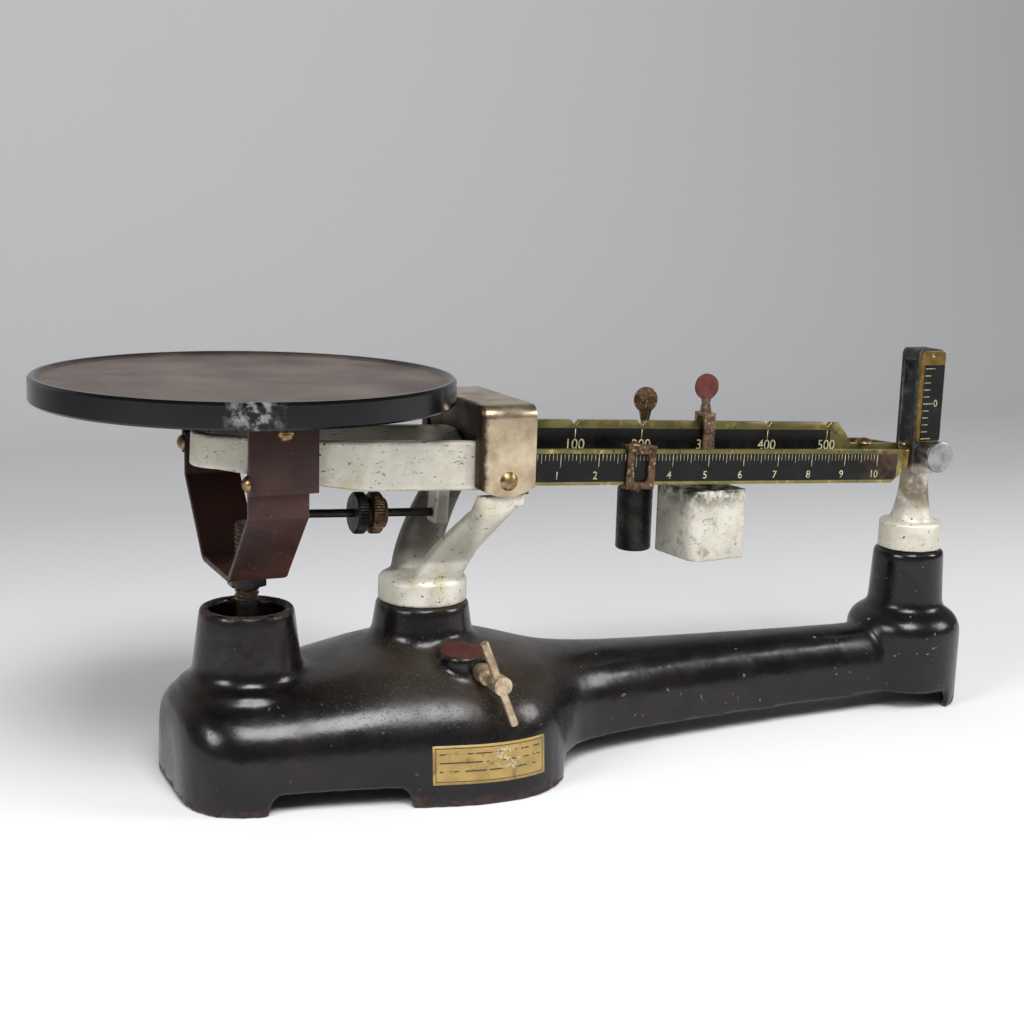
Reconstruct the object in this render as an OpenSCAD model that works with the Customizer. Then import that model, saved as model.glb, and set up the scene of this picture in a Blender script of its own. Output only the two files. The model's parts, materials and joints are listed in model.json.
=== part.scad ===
// Laboratory balance: one round pan on a yoke, three graduated beams with sliding
// poises, knife-edge bearings on a forked column, and a hollow cast base.
// Millimetres. +X runs along the beams away from the pan, +Z is up. The origin is on
// the bench under the middle of the outline. The beams are drawn in their resting
// place, with the index end down on its stop.

/* [Overall] */
// Length from the pan's edge to the end of the base
overall_length = 404.8; // [396:0.1:420]
// Radius of the pan
pan_radius = 76.2; // [66:0.1:80]
// Distance from the pan axis to the middle post
pan_to_post = 69.9; // [66:0.1:74]
// Distance from the middle post to the index post
post_to_index = 233.4; // [230:0.1:238]

/* [Base casting] */
// Wall thickness of the casting
wall = 4; // [3:0.1:5]
// Height where the straight side wall starts to curve in
wall_top = 14; // [10:0.5:18]
// Inward draft of the side wall
wall_draft = 1.5; // [0.5:0.1:3]
// Roundness of the top, 2 is an ellipse and larger is squarer
crown = 2.5; // [2.1:0.1:3]
// Height of the arches between the feet
arch_height = 7; // [5:0.1:9]
// Height of the open boss under the pan
pan_boss_height = 68.3; // [64:0.1:70]
// Top radius of the open boss
pan_boss_radius = 17.5; // [16.5:0.1:19]
// Bore of the open boss
pan_boss_bore = 14.2; // [12:0.1:14.4]
// Height of the middle boss
post_boss_height = 65; // [62:0.1:66]
// Radius of the middle boss
post_boss_radius = 18; // [17:0.1:20]
// Radius of the index pedestal
pedestal_radius = 25; // [23:0.1:27]
// Height of the index pedestal
pedestal_height = 69.7; // [66:0.1:72]

/* [Fork and cover] */
// Radius of the fork's collar
collar_radius = 17.2; // [16:0.1:18]
// Height of the fork's collar
collar_height = 10; // [8:0.1:12]
// Radius of the spigot in the middle boss
spigot_radius = 12; // [10:0.1:13]
// Distance of the fulcrum from the middle post
fulcrum_x = 24; // [22:0.1:26]
// Height of the fulcrum knife edge
fulcrum_z = 122; // [121:0.1:124]
// Inner half width between the bearing pads
pad_inner = 24.4; // [24.2:0.1:25]
// Thickness of a bearing pad
pad_thick = 4; // [3.5:0.1:4.5]
// Sheet thickness of the cover
cover_sheet = 1.6; // [1.2:0.1:2]
// Length of the cover along the beams
cover_length = 22.4; // [20:0.1:24]
// Height of the cover's top
cover_top = 143.6; // [142:0.1:146]
// Height of the cover's lower edge
cover_bottom = 109.2; // [107:0.1:111]

/* [Beam assembly] */
// Resting slope of the beams in degrees, index end down
rest_tilt = 2.55; // [2:0.05:3]
// Distance between the fulcrum and the pan knife
knife_arm = 94; // [92:0.1:96]
// Outer half width of the beam frame
frame_half = 23; // [22:0.1:23.6]
// Thickness of the frame's rails
rail_thick = 5; // [4:0.1:6]
// Height of the frame's rails
rail_height = 18.4; // [17:0.1:20]
// Lower edge of the rails in the level position
rail_bottom = 110.4; // [109:0.1:112]
// Length of the frame past the pan knife
nose_length = 20.5; // [19:0.1:23]
// Radius of the frame's nose
nose_radius = 11.5; // [10.5:0.1:13]
// Side of a knife bar's triangle
knife_side = 7; // [6:0.1:8]
// Thickness of a graduated beam
beam_thick = 2.6; // [2:0.1:3]
// Distance from the middle beam to an outer beam
beam_spacing = 16; // [15:0.1:16.6]
// Lower edge of the outer beams in the level position
beam_bottom = 111; // [110:0.1:112]
// Height of the outer beams
beam_height = 14.2; // [13:0.1:15]
// Top edge of the notched beam in the level position
notch_edge = 134.4; // [133:0.1:136]
// Distance from the middle post to the first notch
first_notch_x = 63.2; // [60:0.1:66]
// Distance between notches
notch_pitch = 30.2; // [29:0.1:31]
// Depth of a notch
notch_depth = 1.9; // [1.5:0.1:2.2]
// Distance from the middle post to the end of the outer beams
beam_end_x = 213; // [210:0.1:215]
// Thickness of a scale's black face
scale_thick = 0.3; // [0.2:0.05:0.5]

/* [Poises] */
// Running clearance of the poises on their beams
slide_clear = 0.3; // [0.2:0.05:0.4]
// Length of the rider along its beam
rider_length = 12.6; // [11:0.1:14]
// Sheet thickness of the rider
rider_sheet = 1.2; // [1:0.1:1.5]
// Rider's distance from the middle post
rider_x = 84.6; // [80:0.1:90]
// Length of the large poise
block_length = 25.5; // [24:0.1:27]
// Width of the large poise
block_width = 27; // [25:0.1:28]
// Height of the large poise
block_height = 29; // [26:0.1:30]
// Height of the large poise's underside
block_bottom = 74.5; // [73:0.1:77]
// Twist of the large poise on its hanger in degrees
block_twist = 6; // [0:0.5:7]
// Notch that the large poise rests at
block_notch = 3; // [2:1:4]
// Radius of the rear poise
drum_radius = 7.5; // [7:0.1:8.8]
// Height of the rear poise
drum_height = 27; // [24:0.1:28]
// Height of the rear poise's underside
drum_bottom = 72.8; // [71:0.1:76]
// Rear poise's distance from the middle post
drum_x = 104.6; // [100:0.1:110]
// Radius of a poise's round tab
tab_radius = 5.3; // [4.5:0.1:5.5]
// Thickness of a hanger strip
strip_thick = 1.4; // [1:0.1:1.8]

/* [Pan and yoke] */
// Height of the pan's skirt and rim together
rim_height = 9.2; // [7:0.1:10]
// Depth of the pan's dish below its rim
dish_depth = 1.8; // [1:0.1:3]
// Thickness of the pan's plate
pan_plate = 3; // [2.5:0.1:4]
// Thickness of the seat between the yoke and the pan
seat_thick = 6.4; // [5:0.1:8]
// Height of the yoke's top above the pan knife
yoke_rise = 16.8; // [15.5:0.1:18]
// Outer half width of the yoke across the beams
yoke_half = 47.5; // [45:0.1:49]
// Width of the yoke's upper cheeks
cheek_width = 24.6; // [23:0.1:27]
// Height of the lower edge of the yoke's cheeks
cheek_bottom = 118.4; // [116:0.1:120]
// Width of the stirrup strap
strap_width = 21.6; // [20:0.1:23]
// Half width of the stirrup's floor
stirrup_half = 20; // [18:0.1:22]
// Height of the stirrup's underside
stirrup_bottom = 81.6; // [80:0.1:83]
// Sheet thickness of the yoke
yoke_sheet = 2.2; // [1.8:0.1:2.6]
// Radius of the yoke's threaded rod
rod_radius = 4; // [3.5:0.1:4.5]
// Width across the yoke's lock nut
lock_nut_width = 13; // [12:0.1:16]
// Height of the rod's top
rod_top = 99.5; // [97:0.1:102]

/* [Check linkage] */
// Height of the fixed link pivot in the base
link_pivot_z = 20; // [18:0.1:22]
// Radius of the link pins
link_pin_radius = 2; // [1.8:0.1:2.4]
// Width of the link bar
link_width = 7; // [6:0.1:8]
// Thickness of the link bar
link_thick = 3; // [2.5:0.1:4]

/* [Index] */
// Half width of the index slot
slot_half = 4; // [3.8:0.1:4.2]
// Thickness of the index uprights
upright_thick = 2.2; // [2:0.1:2.4]
// Width of the index uprights
upright_width = 13.4; // [12.8:0.1:14]
// Height of the index head's top
index_top = 158; // [155:0.1:160]
// Height of the slot's floor
slot_floor = 106.4; // [105:0.1:107]
// Thickness of the index plate
plate_thick = 1; // [0.8:0.1:1.4]
// Radius of the lock knob
knob_radius = 6.7; // [6:0.05:7.5]
// Height of the lock knob's axis
knob_z = 112.6; // [112:0.1:114]

/* [Adjusting parts] */
// Radius of a balance nut
balance_nut_radius = 8; // [7:0.1:9]
// Thickness of a balance nut
balance_nut_thick = 6; // [5:0.1:7]
// Radius of the balance rod
balance_rod_radius = 1.6; // [1.4:0.1:2]
// Height of the balance rod in the level position
balance_rod_z = 98; // [97:0.1:99]
// Distance of the first balance nut from the middle post, towards the pan
balance_nut_x = -21.8; // [-28:0.1:-18]
// Length of the tommy bar
tommy_length = 35; // [28:0.1:36]
// Radius of the tommy bar
tommy_radius = 1.6; // [1.4:0.1:2]
// Running clearance of a shaft in its bore
shaft_clear = 0.06; // [0.03:0.01:0.1]

/* [Hidden] */
fine = 64;
cast_fine = 48;
fillet_fine = 24;
nothing = 0.01;

pan_x = -overall_length / 2 + pan_radius;
post_x = pan_x + pan_to_post;
index_x = post_x + post_to_index;

// Resting place of the pan knife, seen from the middle post
knife_x = fulcrum_x - knife_arm * cos(rest_tilt);
knife_z = fulcrum_z + knife_arm * sin(rest_tilt);

// Base casting, one row per station: distance from the post, half width, ridge height
base_rows = [
    [-99.8, 14, 28.5], [-99.1, 21, 32.5], [-96.6, 28.2, 36.6], [-91.4, 34.8, 39.4],
    [-81.5, 39.8, 41], [-60, 43.6, 42.5], [-40, 47.4, 45.5], [-22, 51.8, 48.5],
    [0, 57, 50.5], [14, 58, 50], [27, 55.4, 48], [38, 48.6, 45.5], [46, 39.5, 43.6],
    [56, 31, 41.6], [72, 25.6, 40], [92, 22.8, 39], [118, 20.5, 38.2],
    [160, 18.2, 37], [200, 17, 36], [226, 16.6, 36]
];
last_row = len(base_rows) - 1;

// Slope of a column at a row, from the rows on both sides of it
function slope(i, c) =
    let (a = max(i - 1, 0), b = min(i + 1, last_row))
    (base_rows[b][c] - base_rows[a][c]) / (base_rows[b][0] - base_rows[a][0]);

// Smooth curve through a column between row i and the next one
function between(i, t, c) =
    let (run = base_rows[i + 1][0] - base_rows[i][0])
    let (p = base_rows[i][c], q = base_rows[i + 1][c])
    let (u = slope(i, c) * run, v = slope(i + 1, c) * run)
    p * (2 * pow(t, 3) - 3 * t * t + 1) + u * (pow(t, 3) - 2 * t * t + t)
    + q * (3 * t * t - 2 * pow(t, 3)) + v * (pow(t, 3) - t * t);

function station(i, t) = [
    base_rows[i][0] + t * (base_rows[i + 1][0] - base_rows[i][0]),
    between(i, t, 1),
    between(i, t, 2)
];

function sign_power(v, p) = sign(v) * pow(abs(v), p);

// One cross section of the casting, inset by a wall, from the near foot to the far one
function section(s, inset, foot, step) = concat(
    [[s[0], -(s[1] - inset), foot]],
    [for (a = [180 : -step : 0]) [
        s[0],
        (s[1] - wall_draft - inset) * sign_power(cos(a), 2 / crown),
        wall_top + (s[2] - inset - wall_top) * sign_power(sin(a), 2 / crown)
    ]],
    [[s[0], s[1] - inset, foot]]
);

// Closed solid through a list of sections with the same number of points
module skin(sections) {
    rings = len(sections);
    ring = len(sections[0]);
    points = [for (s = sections) for (p = s) p];
    sides = [
        for (i = [0 : rings - 2]) for (j = [0 : ring - 1])
        let (a = i * ring + j, b = i * ring + (j + 1) % ring)
        each [[a, b, a + ring], [b, b + ring, a + ring]]
    ];
    first = [[for (j = [ring - 1 : -1 : 0]) j]];
    last = [[for (j = [0 : ring - 1]) (rings - 1) * ring + j]];
    polyhedron(points, concat(sides, first, last));
}

// Everything measured from the middle post
module at_post() {
    translate([post_x, 0, 0]) children();
}

// Turns a piece drawn level into the beams' resting slope
module on_beam() {
    translate([post_x + fulcrum_x, 0, fulcrum_z])
        rotate([0, rest_tilt, 0])
            translate([-fulcrum_x, 0, -fulcrum_z])
                children();
}

// Upright plate from a profile drawn in X and Z, from y to y + thick
module plate_y(y, thick) {
    translate([0, y + thick, 0])
        rotate([90, 0, 0])
            linear_extrude(height = thick) children();
}

// Cylinder along Y, from y to y + length
module rod_y(x, y, z, length, r) {
    translate([x, y + length, z])
        rotate([90, 0, 0])
            cylinder(h = length, r = r, $fn = fine);
}

module rod_x(x, y, z, length, r) {
    translate([x, y, z])
        rotate([0, 90, 0])
            cylinder(h = length, r = r, $fn = fine);
}

// Box from its lowest corner to its highest one
module span(a, b) {
    translate(a) cube(b - a);
}

module round_rect(x0, z0, x1, z1, r) {
    translate([x0 + r, z0]) square([x1 - x0 - 2 * r, z1 - z0]);
    translate([x0, z0 + r]) square([x1 - x0, z1 - z0 - 2 * r]);
    for (x = [x0 + r, x1 - r]) for (z = [z0 + r, z1 - r])
        translate([x, z]) circle(r = r, $fn = fine);
}

// Domed screw head with a slot, standing along +Z on the origin
module dome_head(r, height, slot = 0.8) {
    ball = (r * r + height * height) / (2 * height);
    difference() {
        intersection() {
            translate([0, 0, height - ball]) sphere(r = ball, $fn = fine);
            cylinder(h = height + 1, r = r, $fn = fine);
        }
        translate([-r - 1, -slot / 2, height * 0.55]) cube([2 * r + 2, slot, height]);
    }
}

// Triangular knife bar along Y, its edge at the origin: up = 1 points the edge upwards
module knife_bar(half_length, up) {
    drop = knife_side * sin(60);
    plate_y(-half_length, 2 * half_length)
        polygon([[0, 0], [knife_side / 2, -up * drop], [-knife_side / 2, -up * drop]]);
}

/* base casting */
outer_step = 7.5;
inner_step = 15;
shoulder_z = 33;
shoulder_round = 10;
neck_radius = pedestal_radius - 9.7;
pedestal_hollow = 30;
column_radius = 9;
pan_flare = 6;
pan_flare_z = pan_boss_height - 23.3;
post_flare = 7;
post_flare_z = post_boss_height - 11;
spigot_length = 18;
foot_end = -72;
front_foot_start = -23;
front_foot_end = 44;
rear_foot_start = post_to_index + 8;
tail_arch = arch_height + 1;
tapped_x = 6;
tapped_y = -30;
tapped_radius = 10.4;
tapped_top = 51.6;
tommy_axis_x = 8;
tommy_axis_z = 46;
tommy_thread = 3;
tommy_depth = 10.8;
tommy_shoulder = 3.6;
tommy_face = tapped_y - tapped_radius - 0.6;
pad_bottom = 34;
bracket_half_x = 9;
bracket_half_y = 8;
pivot_x = fulcrum_x;

module base_outer() {
    skin([
        for (i = [0 : last_row - 1]) each [section(station(i, 0), 0, 0, outer_step),
                                           section(station(i, 0.5), 0, 0, outer_step)],
        section(base_rows[last_row], 0, 0, outer_step)
    ]);
}

module base_inner() {
    skin([
        for (i = [2 : last_row]) section(base_rows[i], wall, -1, inner_step)
    ]);
}

// Flared boss: straight taper above a rounded foot that runs into the casting
module flared_boss(top, r_top, z_flare, flare) {
    r_low = r_top + 0.12 * (top - z_flare);
    rotate_extrude($fn = cast_fine) difference() {
        polygon([
            [0, z_flare - flare], [r_low + flare, z_flare - flare], [r_low + flare, z_flare - flare * 0.8],
            [r_low, z_flare + flare * 0.2], [r_top, top], [0, top]
        ]);
        translate([r_low + flare, z_flare + flare * 0.2]) circle(r = flare, $fn = fillet_fine);
    }
}

module pedestal() {
    rotate_extrude($fn = cast_fine) {
        square([pedestal_radius, shoulder_z]);
        translate([0, shoulder_z]) square([pedestal_radius - shoulder_round, shoulder_round]);
        translate([pedestal_radius - shoulder_round, shoulder_z])
            circle(r = shoulder_round, $fn = fillet_fine);
        polygon([
            [0, shoulder_z], [neck_radius + 2.1, shoulder_z + 7], [neck_radius + 1.1, shoulder_z + 13],
            [neck_radius, pedestal_height], [0, pedestal_height]
        ]);
    }
}

module arch(x0, x1, height) {
    plate_y(-80, 160) {
        translate([x0, -1]) square([x1 - x0, height - 2]);
        round_rect(x0, -3, x1, height, 3);
    }
}

module base() color([0.03, 0.03, 0.035]) at_post() difference() {
    union() {
        difference() {
            union() {
                base_outer();
                translate([post_to_index, 0, 0]) pedestal();
                translate([knife_x, 0, 0])
                    flared_boss(pan_boss_height, pan_boss_radius, pan_flare_z, pan_flare);
                flared_boss(post_boss_height, post_boss_radius, post_flare_z, post_flare);
            }
            base_inner();
            translate([post_to_index, 0, -1])
                cylinder(h = pedestal_hollow + 1, r = pedestal_radius - wall, $fn = cast_fine);
        }
        translate([tapped_x, tapped_y, 40])
            cylinder(h = tapped_top - 40, r1 = tapped_radius + 0.6, r2 = tapped_radius, $fn = cast_fine);
        span([pivot_x - bracket_half_x - 1, -bracket_half_y - 1, pad_bottom],
             [pivot_x + bracket_half_x + 1, bracket_half_y + 1, 45]);
    }
    translate([knife_x, 0, 20]) cylinder(h = 60, r = pan_boss_bore, $fn = cast_fine);
    translate([0, 0, 35]) cylinder(h = 60, r = spigot_radius + shaft_clear, $fn = cast_fine);
    translate([post_to_index, 0, 20]) cylinder(h = 60, r = column_radius + shaft_clear, $fn = cast_fine);
    rod_y(tommy_axis_x, tommy_face - 8, tommy_axis_z, 8 + tommy_depth + 0.4, tommy_thread + shaft_clear);
    // Spot face under the tommy screw's shoulder
    rod_y(tommy_axis_x, tommy_face - 8, tommy_axis_z, 8, tommy_shoulder + 0.4);
    arch(foot_end, front_foot_start, arch_height);
    arch(front_foot_end, rear_foot_start, tail_arch);
}

/* fork */
arm_rings = 14;
arm_sides = 20;
arm_centre = [
    [0, 8, 70], [2, 12, 78], [6, 16, 87], [12, 21, 96], [18, 25, 104], [21, 26, 112]
];

function arm_blend(t) =
    let (i = min(floor(t), len(arm_centre) - 2), f = t - i)
    let (a = arm_centre[max(i - 1, 0)], b = arm_centre[i], c = arm_centre[i + 1])
    let (d = arm_centre[min(i + 2, len(arm_centre) - 1)])
    0.5 * (2 * b + (c - a) * f + (2 * a - 5 * b + 4 * c - d) * f * f
           + (3 * b - a - 3 * c + d) * f * f * f);

// Oval rings, level with the bench and shifted along the arm's line
function arm_ring(t) =
    let (p = arm_blend(t), w = 10.2 - 1.2 * t / 5, d = 5.2 - 1.8 * t / 5)
    [for (j = [0 : arm_sides - 1])
        let (a = -360 * j / arm_sides)
        [p[0] + w * sign_power(cos(a), 0.75), p[1] + d * sign_power(sin(a), 0.75), p[2]]];

module fork_arm() {
    last = len(arm_centre) - 1;
    skin([for (k = [0 : arm_rings]) arm_ring(k * last / arm_rings)]);
}

pad_x0 = fulcrum_x - 10;
pad_x1 = fulcrum_x + 5.6;
pad_low = 105;
block_low = 109.6;
bearing_half = 7;
v_half = 5;

module fork() color([0.72, 0.7, 0.62]) at_post() {
    difference() {
        union() {
            rotate_extrude($fn = fine) polygon([
                [0, post_boss_height - spigot_length], [spigot_radius, post_boss_height - spigot_length],
                [spigot_radius, post_boss_height], [collar_radius, post_boss_height],
                [collar_radius, post_boss_height + collar_height - 1.5],
                [collar_radius - 1.5, post_boss_height + collar_height],
                [0, post_boss_height + collar_height]
            ]);
            for (side = [-1, 1]) {
                scale([1, side, 1]) fork_arm();
                span([pad_x0, side > 0 ? pad_inner : -pad_inner - pad_thick, pad_low],
                     [pad_x1, side > 0 ? pad_inner + pad_thick : -pad_inner, block_low]);
            }
        }
        // The beam frame swings between the pads
        span([-15, -pad_inner, pad_low - 2], [60, pad_inner, 130]);
        for (side = [-1, 1])
            span([-15, side > 0 ? pad_inner + pad_thick : -45, pad_low - 8],
                 [60, side > 0 ? 45 : -pad_inner - pad_thick, 130]);
        span([-15, -45, block_low], [60, 45, 130]);
    }
}

// V block that carries one end of the fulcrum knife
module bearing(y) {
    difference() {
        plate_y(y, pad_thick) polygon([
            [fulcrum_x - bearing_half, block_low], [fulcrum_x + bearing_half, block_low],
            [fulcrum_x + bearing_half, fulcrum_z + 3], [fulcrum_x + v_half, fulcrum_z + 3],
            [fulcrum_x, fulcrum_z - shaft_clear], [fulcrum_x - v_half, fulcrum_z + 3],
            [fulcrum_x - bearing_half, fulcrum_z + 3]
        ]);
        rod_y(screw_x, y - 1, screw_z, pad_thick + 2, 1.6);
    }
}

screw_x = 22;
screw_z = 115.2;

module bearing_near() color([0.25, 0.25, 0.27]) at_post() bearing(-pad_inner - pad_thick);

module bearing_far() color([0.25, 0.25, 0.27]) at_post() bearing(pad_inner);

/* cover */
cover_in = pad_inner + pad_thick;
cover_out = cover_in + cover_sheet;
cover_x0 = fulcrum_x - 13.4;
cover_x1 = cover_x0 + cover_length;
frame_gap = 1.2;

cover_bend = 5;
cheek_round = 20;

module cheek_outline() {
    intersection() {
        round_rect(cover_x0, cover_bottom, cover_x1, cover_top + 5, 2);
        translate([(cover_x0 + cover_x1) / 2, cover_bottom + cheek_round])
            circle(r = cheek_round, $fn = 128);
    }
    translate([cover_x0, cover_bottom + cheek_round])
        square([cover_length, cover_top - cover_bottom - cheek_round + 5]);
}

// Section across the beams: a square bottom and two bent upper corners
module cover_section(inset) {
    half = cover_out - inset;
    top = cover_top - inset;
    r = cover_bend - inset;
    translate([-half, cover_bottom - 1]) square([2 * half, top - r - cover_bottom + 1]);
    translate([-half + r, top - r - 1]) square([2 * (half - r), r + 1]);
    for (y = [-half + r, half - r]) translate([y, top - r]) circle(r = r, $fn = fine);
}

module cover_block(x0, x1, inset) {
    translate([x0, 0, 0]) rotate([90, 0, 90]) linear_extrude(height = x1 - x0) cover_section(inset);
}

module cover() color([0.62, 0.56, 0.48]) at_post() difference() {
    intersection() {
        cover_block(cover_x0, cover_x1, 0);
        plate_y(-cover_out - 1, 2 * cover_out + 2) cheek_outline();
    }
    cover_block(cover_x0 + cover_sheet, cover_x1 + 1, cover_sheet);
    span([cover_x0 - 1, -frame_half - frame_gap, cover_bottom - 1],
         [cover_x0 + cover_sheet + 1, frame_half + frame_gap, rail_bottom + rail_height + 3]);
    for (y = [-cover_out - 1, cover_in - 1]) rod_y(screw_x, y, screw_z, cover_sheet + 2, 1.6);
}

module cover_screws() color([0.7, 0.6, 0.45]) at_post() for (side = [-1, 1]) {
    y = side > 0 ? cover_out : -cover_out;
    translate([screw_x, y, screw_z]) rotate([-side * 90, 0, 0]) dome_head(3.6, 1.7);
    rod_y(screw_x, side > 0 ? pad_inner + 0.4 : -cover_out, screw_z, pad_thick + cover_sheet - 0.4, 1.55);
}

/* beam assembly */
frame_x0 = fulcrum_x - knife_arm - nose_length;
frame_x1 = cover_x1 - 0.6;
rail_end_x = -46;
nose_x = frame_x0 + nose_radius;
nose_lift = 6.2;
cross_width = 6;
pan_knife_x = fulcrum_x - knife_arm;
pan_knife_half = 43;
fulcrum_half = 27.9;
rail_top = rail_bottom + rail_height;
lug_x = 4;

// Plan of the frame: straight rails that close in on a round nose
module frame_loop(inset) {
    hull() {
        translate([rail_end_x, -frame_half + inset])
            square([frame_x1 - (inset > 0 ? cross_width : 0) - rail_end_x, 2 * (frame_half - inset)]);
        translate([nose_x, 0]) circle(r = nose_radius - inset, $fn = fine);
    }
}

// The rails' side view, lower towards the nose
module frame_side() {
    plate_y(-frame_half - 1, 2 * frame_half + 2) polygon([
        [frame_x0 - 1, rail_bottom + nose_lift], [nose_x - 4, rail_bottom + nose_lift],
        [rail_end_x + 14, rail_bottom], [frame_x1 + 1, rail_bottom], [frame_x1 + 1, rail_top],
        [frame_x0 - 1, rail_top]
    ]);
}

module beam_frame() color([0.74, 0.73, 0.66]) on_beam() difference() {
    union() {
        difference() {
            intersection() {
                translate([0, 0, rail_bottom]) linear_extrude(height = rail_height) frame_loop(0);
                frame_side();
            }
            translate([0, 0, rail_bottom - 1]) linear_extrude(height = rail_height + 2)
                frame_loop(rail_thick);
        }
        // Bridge between the rails with the lug for the balance rod
        span([lug_x, -frame_half + rail_thick - 1, rail_bottom], [lug_x + 6, frame_half - rail_thick + 1,
             rail_bottom + 6]);
        span([lug_x, -4, balance_rod_z - 4], [lug_x + 6, 4, rail_bottom + 1]);
    }
    translate([fulcrum_x, 0, fulcrum_z]) knife_bar(fulcrum_half, -1);
    translate([pan_knife_x, 0, fulcrum_z]) knife_bar(pan_knife_half, 1);
    rod_x(lug_x - 1, 0, balance_rod_z, 8, balance_rod_radius);
}

module fulcrum_knife() color([0.35, 0.35, 0.37]) on_beam()
    translate([fulcrum_x, 0, fulcrum_z]) knife_bar(fulcrum_half, -1);

module pan_knife() color([0.12, 0.11, 0.1]) on_beam()
    translate([pan_knife_x, 0, fulcrum_z]) knife_bar(pan_knife_half, 1);

beam_x0 = frame_x1;
beam_top = beam_bottom + beam_height;
slope_start_x = 188.6;
slope_end_x = 197;
tongue_top = 125.6;
tongue_end_x = 222;
middle_bottom = 111;
tongue_bottom = 118;
notch_half = 1.9;
scale_drop = 3.2;
last_notch = 5;

module notch(n) {
    x = first_notch_x + (n - 1) * notch_pitch;
    polygon([[x - notch_half, notch_edge + nothing], [x + notch_half, notch_edge + nothing],
             [x + 0.3, notch_edge - notch_depth], [x - 0.3, notch_edge - notch_depth]]);
}

module middle_beam() color([0.6, 0.55, 0.3]) on_beam() plate_y(-beam_thick / 2, beam_thick)
    difference() {
        polygon([
            [beam_x0, middle_bottom], [slope_start_x, middle_bottom], [slope_end_x, tongue_bottom],
            [tongue_end_x, tongue_bottom], [tongue_end_x, tongue_top], [slope_end_x, tongue_top],
            [slope_end_x - 3, tongue_top + 4], [slope_start_x + 1, notch_edge], [beam_x0, notch_edge]
        ]);
        for (n = [1 : last_notch]) notch(n);
    }

module middle_scale() color([0.03, 0.03, 0.03]) on_beam()
    span([beam_x0 + 3, -beam_thick / 2 - scale_thick, middle_bottom + 1.5],
         [slope_start_x - 3, -beam_thick / 2, notch_edge - scale_drop]);

module outer_beam(y) {
    plate_y(y - beam_thick / 2, beam_thick) polygon([
        [beam_x0, beam_bottom], [beam_end_x - 5, beam_bottom], [beam_end_x, beam_bottom + 4],
        [beam_end_x, beam_top], [beam_x0, beam_top]
    ]);
}

module outer_scale(y) {
    span([beam_x0 + 3, y, beam_bottom + 1.4], [beam_end_x - 3, y + scale_thick, beam_top - 1.8]);
}

module front_beam() color([0.6, 0.55, 0.3]) on_beam() outer_beam(-beam_spacing);

module front_scale() color([0.03, 0.03, 0.03]) on_beam()
    difference() {
        outer_scale(-beam_spacing - beam_thick / 2 - scale_thick);
        plate_y(-beam_spacing - 5, 10) polygon([[beam_end_x - 6, beam_bottom], [beam_end_x, beam_bottom],
            [beam_end_x, beam_bottom + 5]]);
    }

module rear_beam() color([0.6, 0.55, 0.3]) on_beam() outer_beam(beam_spacing);

module rear_scale() color([0.03, 0.03, 0.03]) on_beam()
    difference() {
        outer_scale(beam_spacing - beam_thick / 2 - scale_thick);
        plate_y(beam_spacing - 5, 10) polygon([[beam_end_x - 6, beam_bottom], [beam_end_x, beam_bottom],
            [beam_end_x, beam_bottom + 5]]);
    }

/* pointer: joins the three beams and runs into the index slot */
pointer_end_x = post_to_index + 2;
pointer_half = slot_half - 1;
pointer_in = beam_thick / 2 + 0.2;
pointer_bottom = beam_bottom + 6;

module pointer() color([0.62, 0.52, 0.28]) on_beam() difference() {
    translate([0, 0, pointer_bottom]) linear_extrude(height = beam_top - pointer_bottom)
        polygon([
            [beam_end_x, -beam_spacing - beam_thick / 2], [beam_end_x + 3, -beam_spacing - beam_thick / 2],
            [tongue_end_x + 2, -pointer_half], [pointer_end_x, -pointer_half + 1],
            [pointer_end_x, pointer_half - 1], [tongue_end_x + 2, pointer_half],
            [beam_end_x + 3, beam_spacing + beam_thick / 2], [beam_end_x, beam_spacing + beam_thick / 2],
            [beam_end_x, beam_spacing - beam_thick / 2], [tongue_end_x, pointer_in],
            [tongue_end_x, -pointer_in], [beam_end_x, -beam_spacing + beam_thick / 2]
        ]);
}

module pointer_screws() color([0.6, 0.5, 0.4]) on_beam() {
    translate([beam_end_x - 8, 0, tongue_top]) dome_head(4, 2.2);
    translate([tongue_end_x + 4, -0.4, beam_top]) dome_head(2.4, 1.5);
}

/* rider on the front beam */
rider_in = scale_thick + slide_clear;

module rider_ring(grow) {
    span([rider_x - rider_length / 2, -beam_spacing - beam_thick / 2 - rider_in - grow,
          beam_bottom - slide_clear - grow],
         [rider_x + rider_length / 2, -beam_spacing + beam_thick / 2 + slide_clear + grow,
          beam_top + slide_clear + grow]);
}

module rider() color([0.4, 0.33, 0.25]) on_beam() difference() {
    rider_ring(rider_sheet);
    translate([-1, 0, 0]) rider_ring(0);
    translate([1, 0, 0]) rider_ring(0);
    plate_y(-beam_spacing - 8, 8)
        round_rect(rider_x - rider_length / 2 + 3, beam_bottom + 1.4,
                   rider_x + rider_length / 2 - 3, beam_top - 1.6, 1.6);
}

module rider_screw() color([0.5, 0.42, 0.3]) on_beam() {
    translate([rider_x - 2, -beam_spacing, beam_top + slide_clear + rider_sheet]) dome_head(2.6, 1.6);
    translate([rider_x, -beam_spacing, beam_bottom - slide_clear - rider_sheet - 1])
        cylinder(h = 1, r = 1.8, $fn = 24);
}

/* large poise on the notched beam */
block_x = first_notch_x + (block_notch - 1) * notch_pitch;
block_y = -2.5;

// Height of a level point once the beams are at rest
function rest_z(x, z) = fulcrum_z - (x - fulcrum_x) * sin(rest_tilt) + (z - fulcrum_z) * cos(rest_tilt);
function rest_x(x, z) = fulcrum_x + (x - fulcrum_x) * cos(rest_tilt) + (z - fulcrum_z) * sin(rest_tilt);

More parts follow.
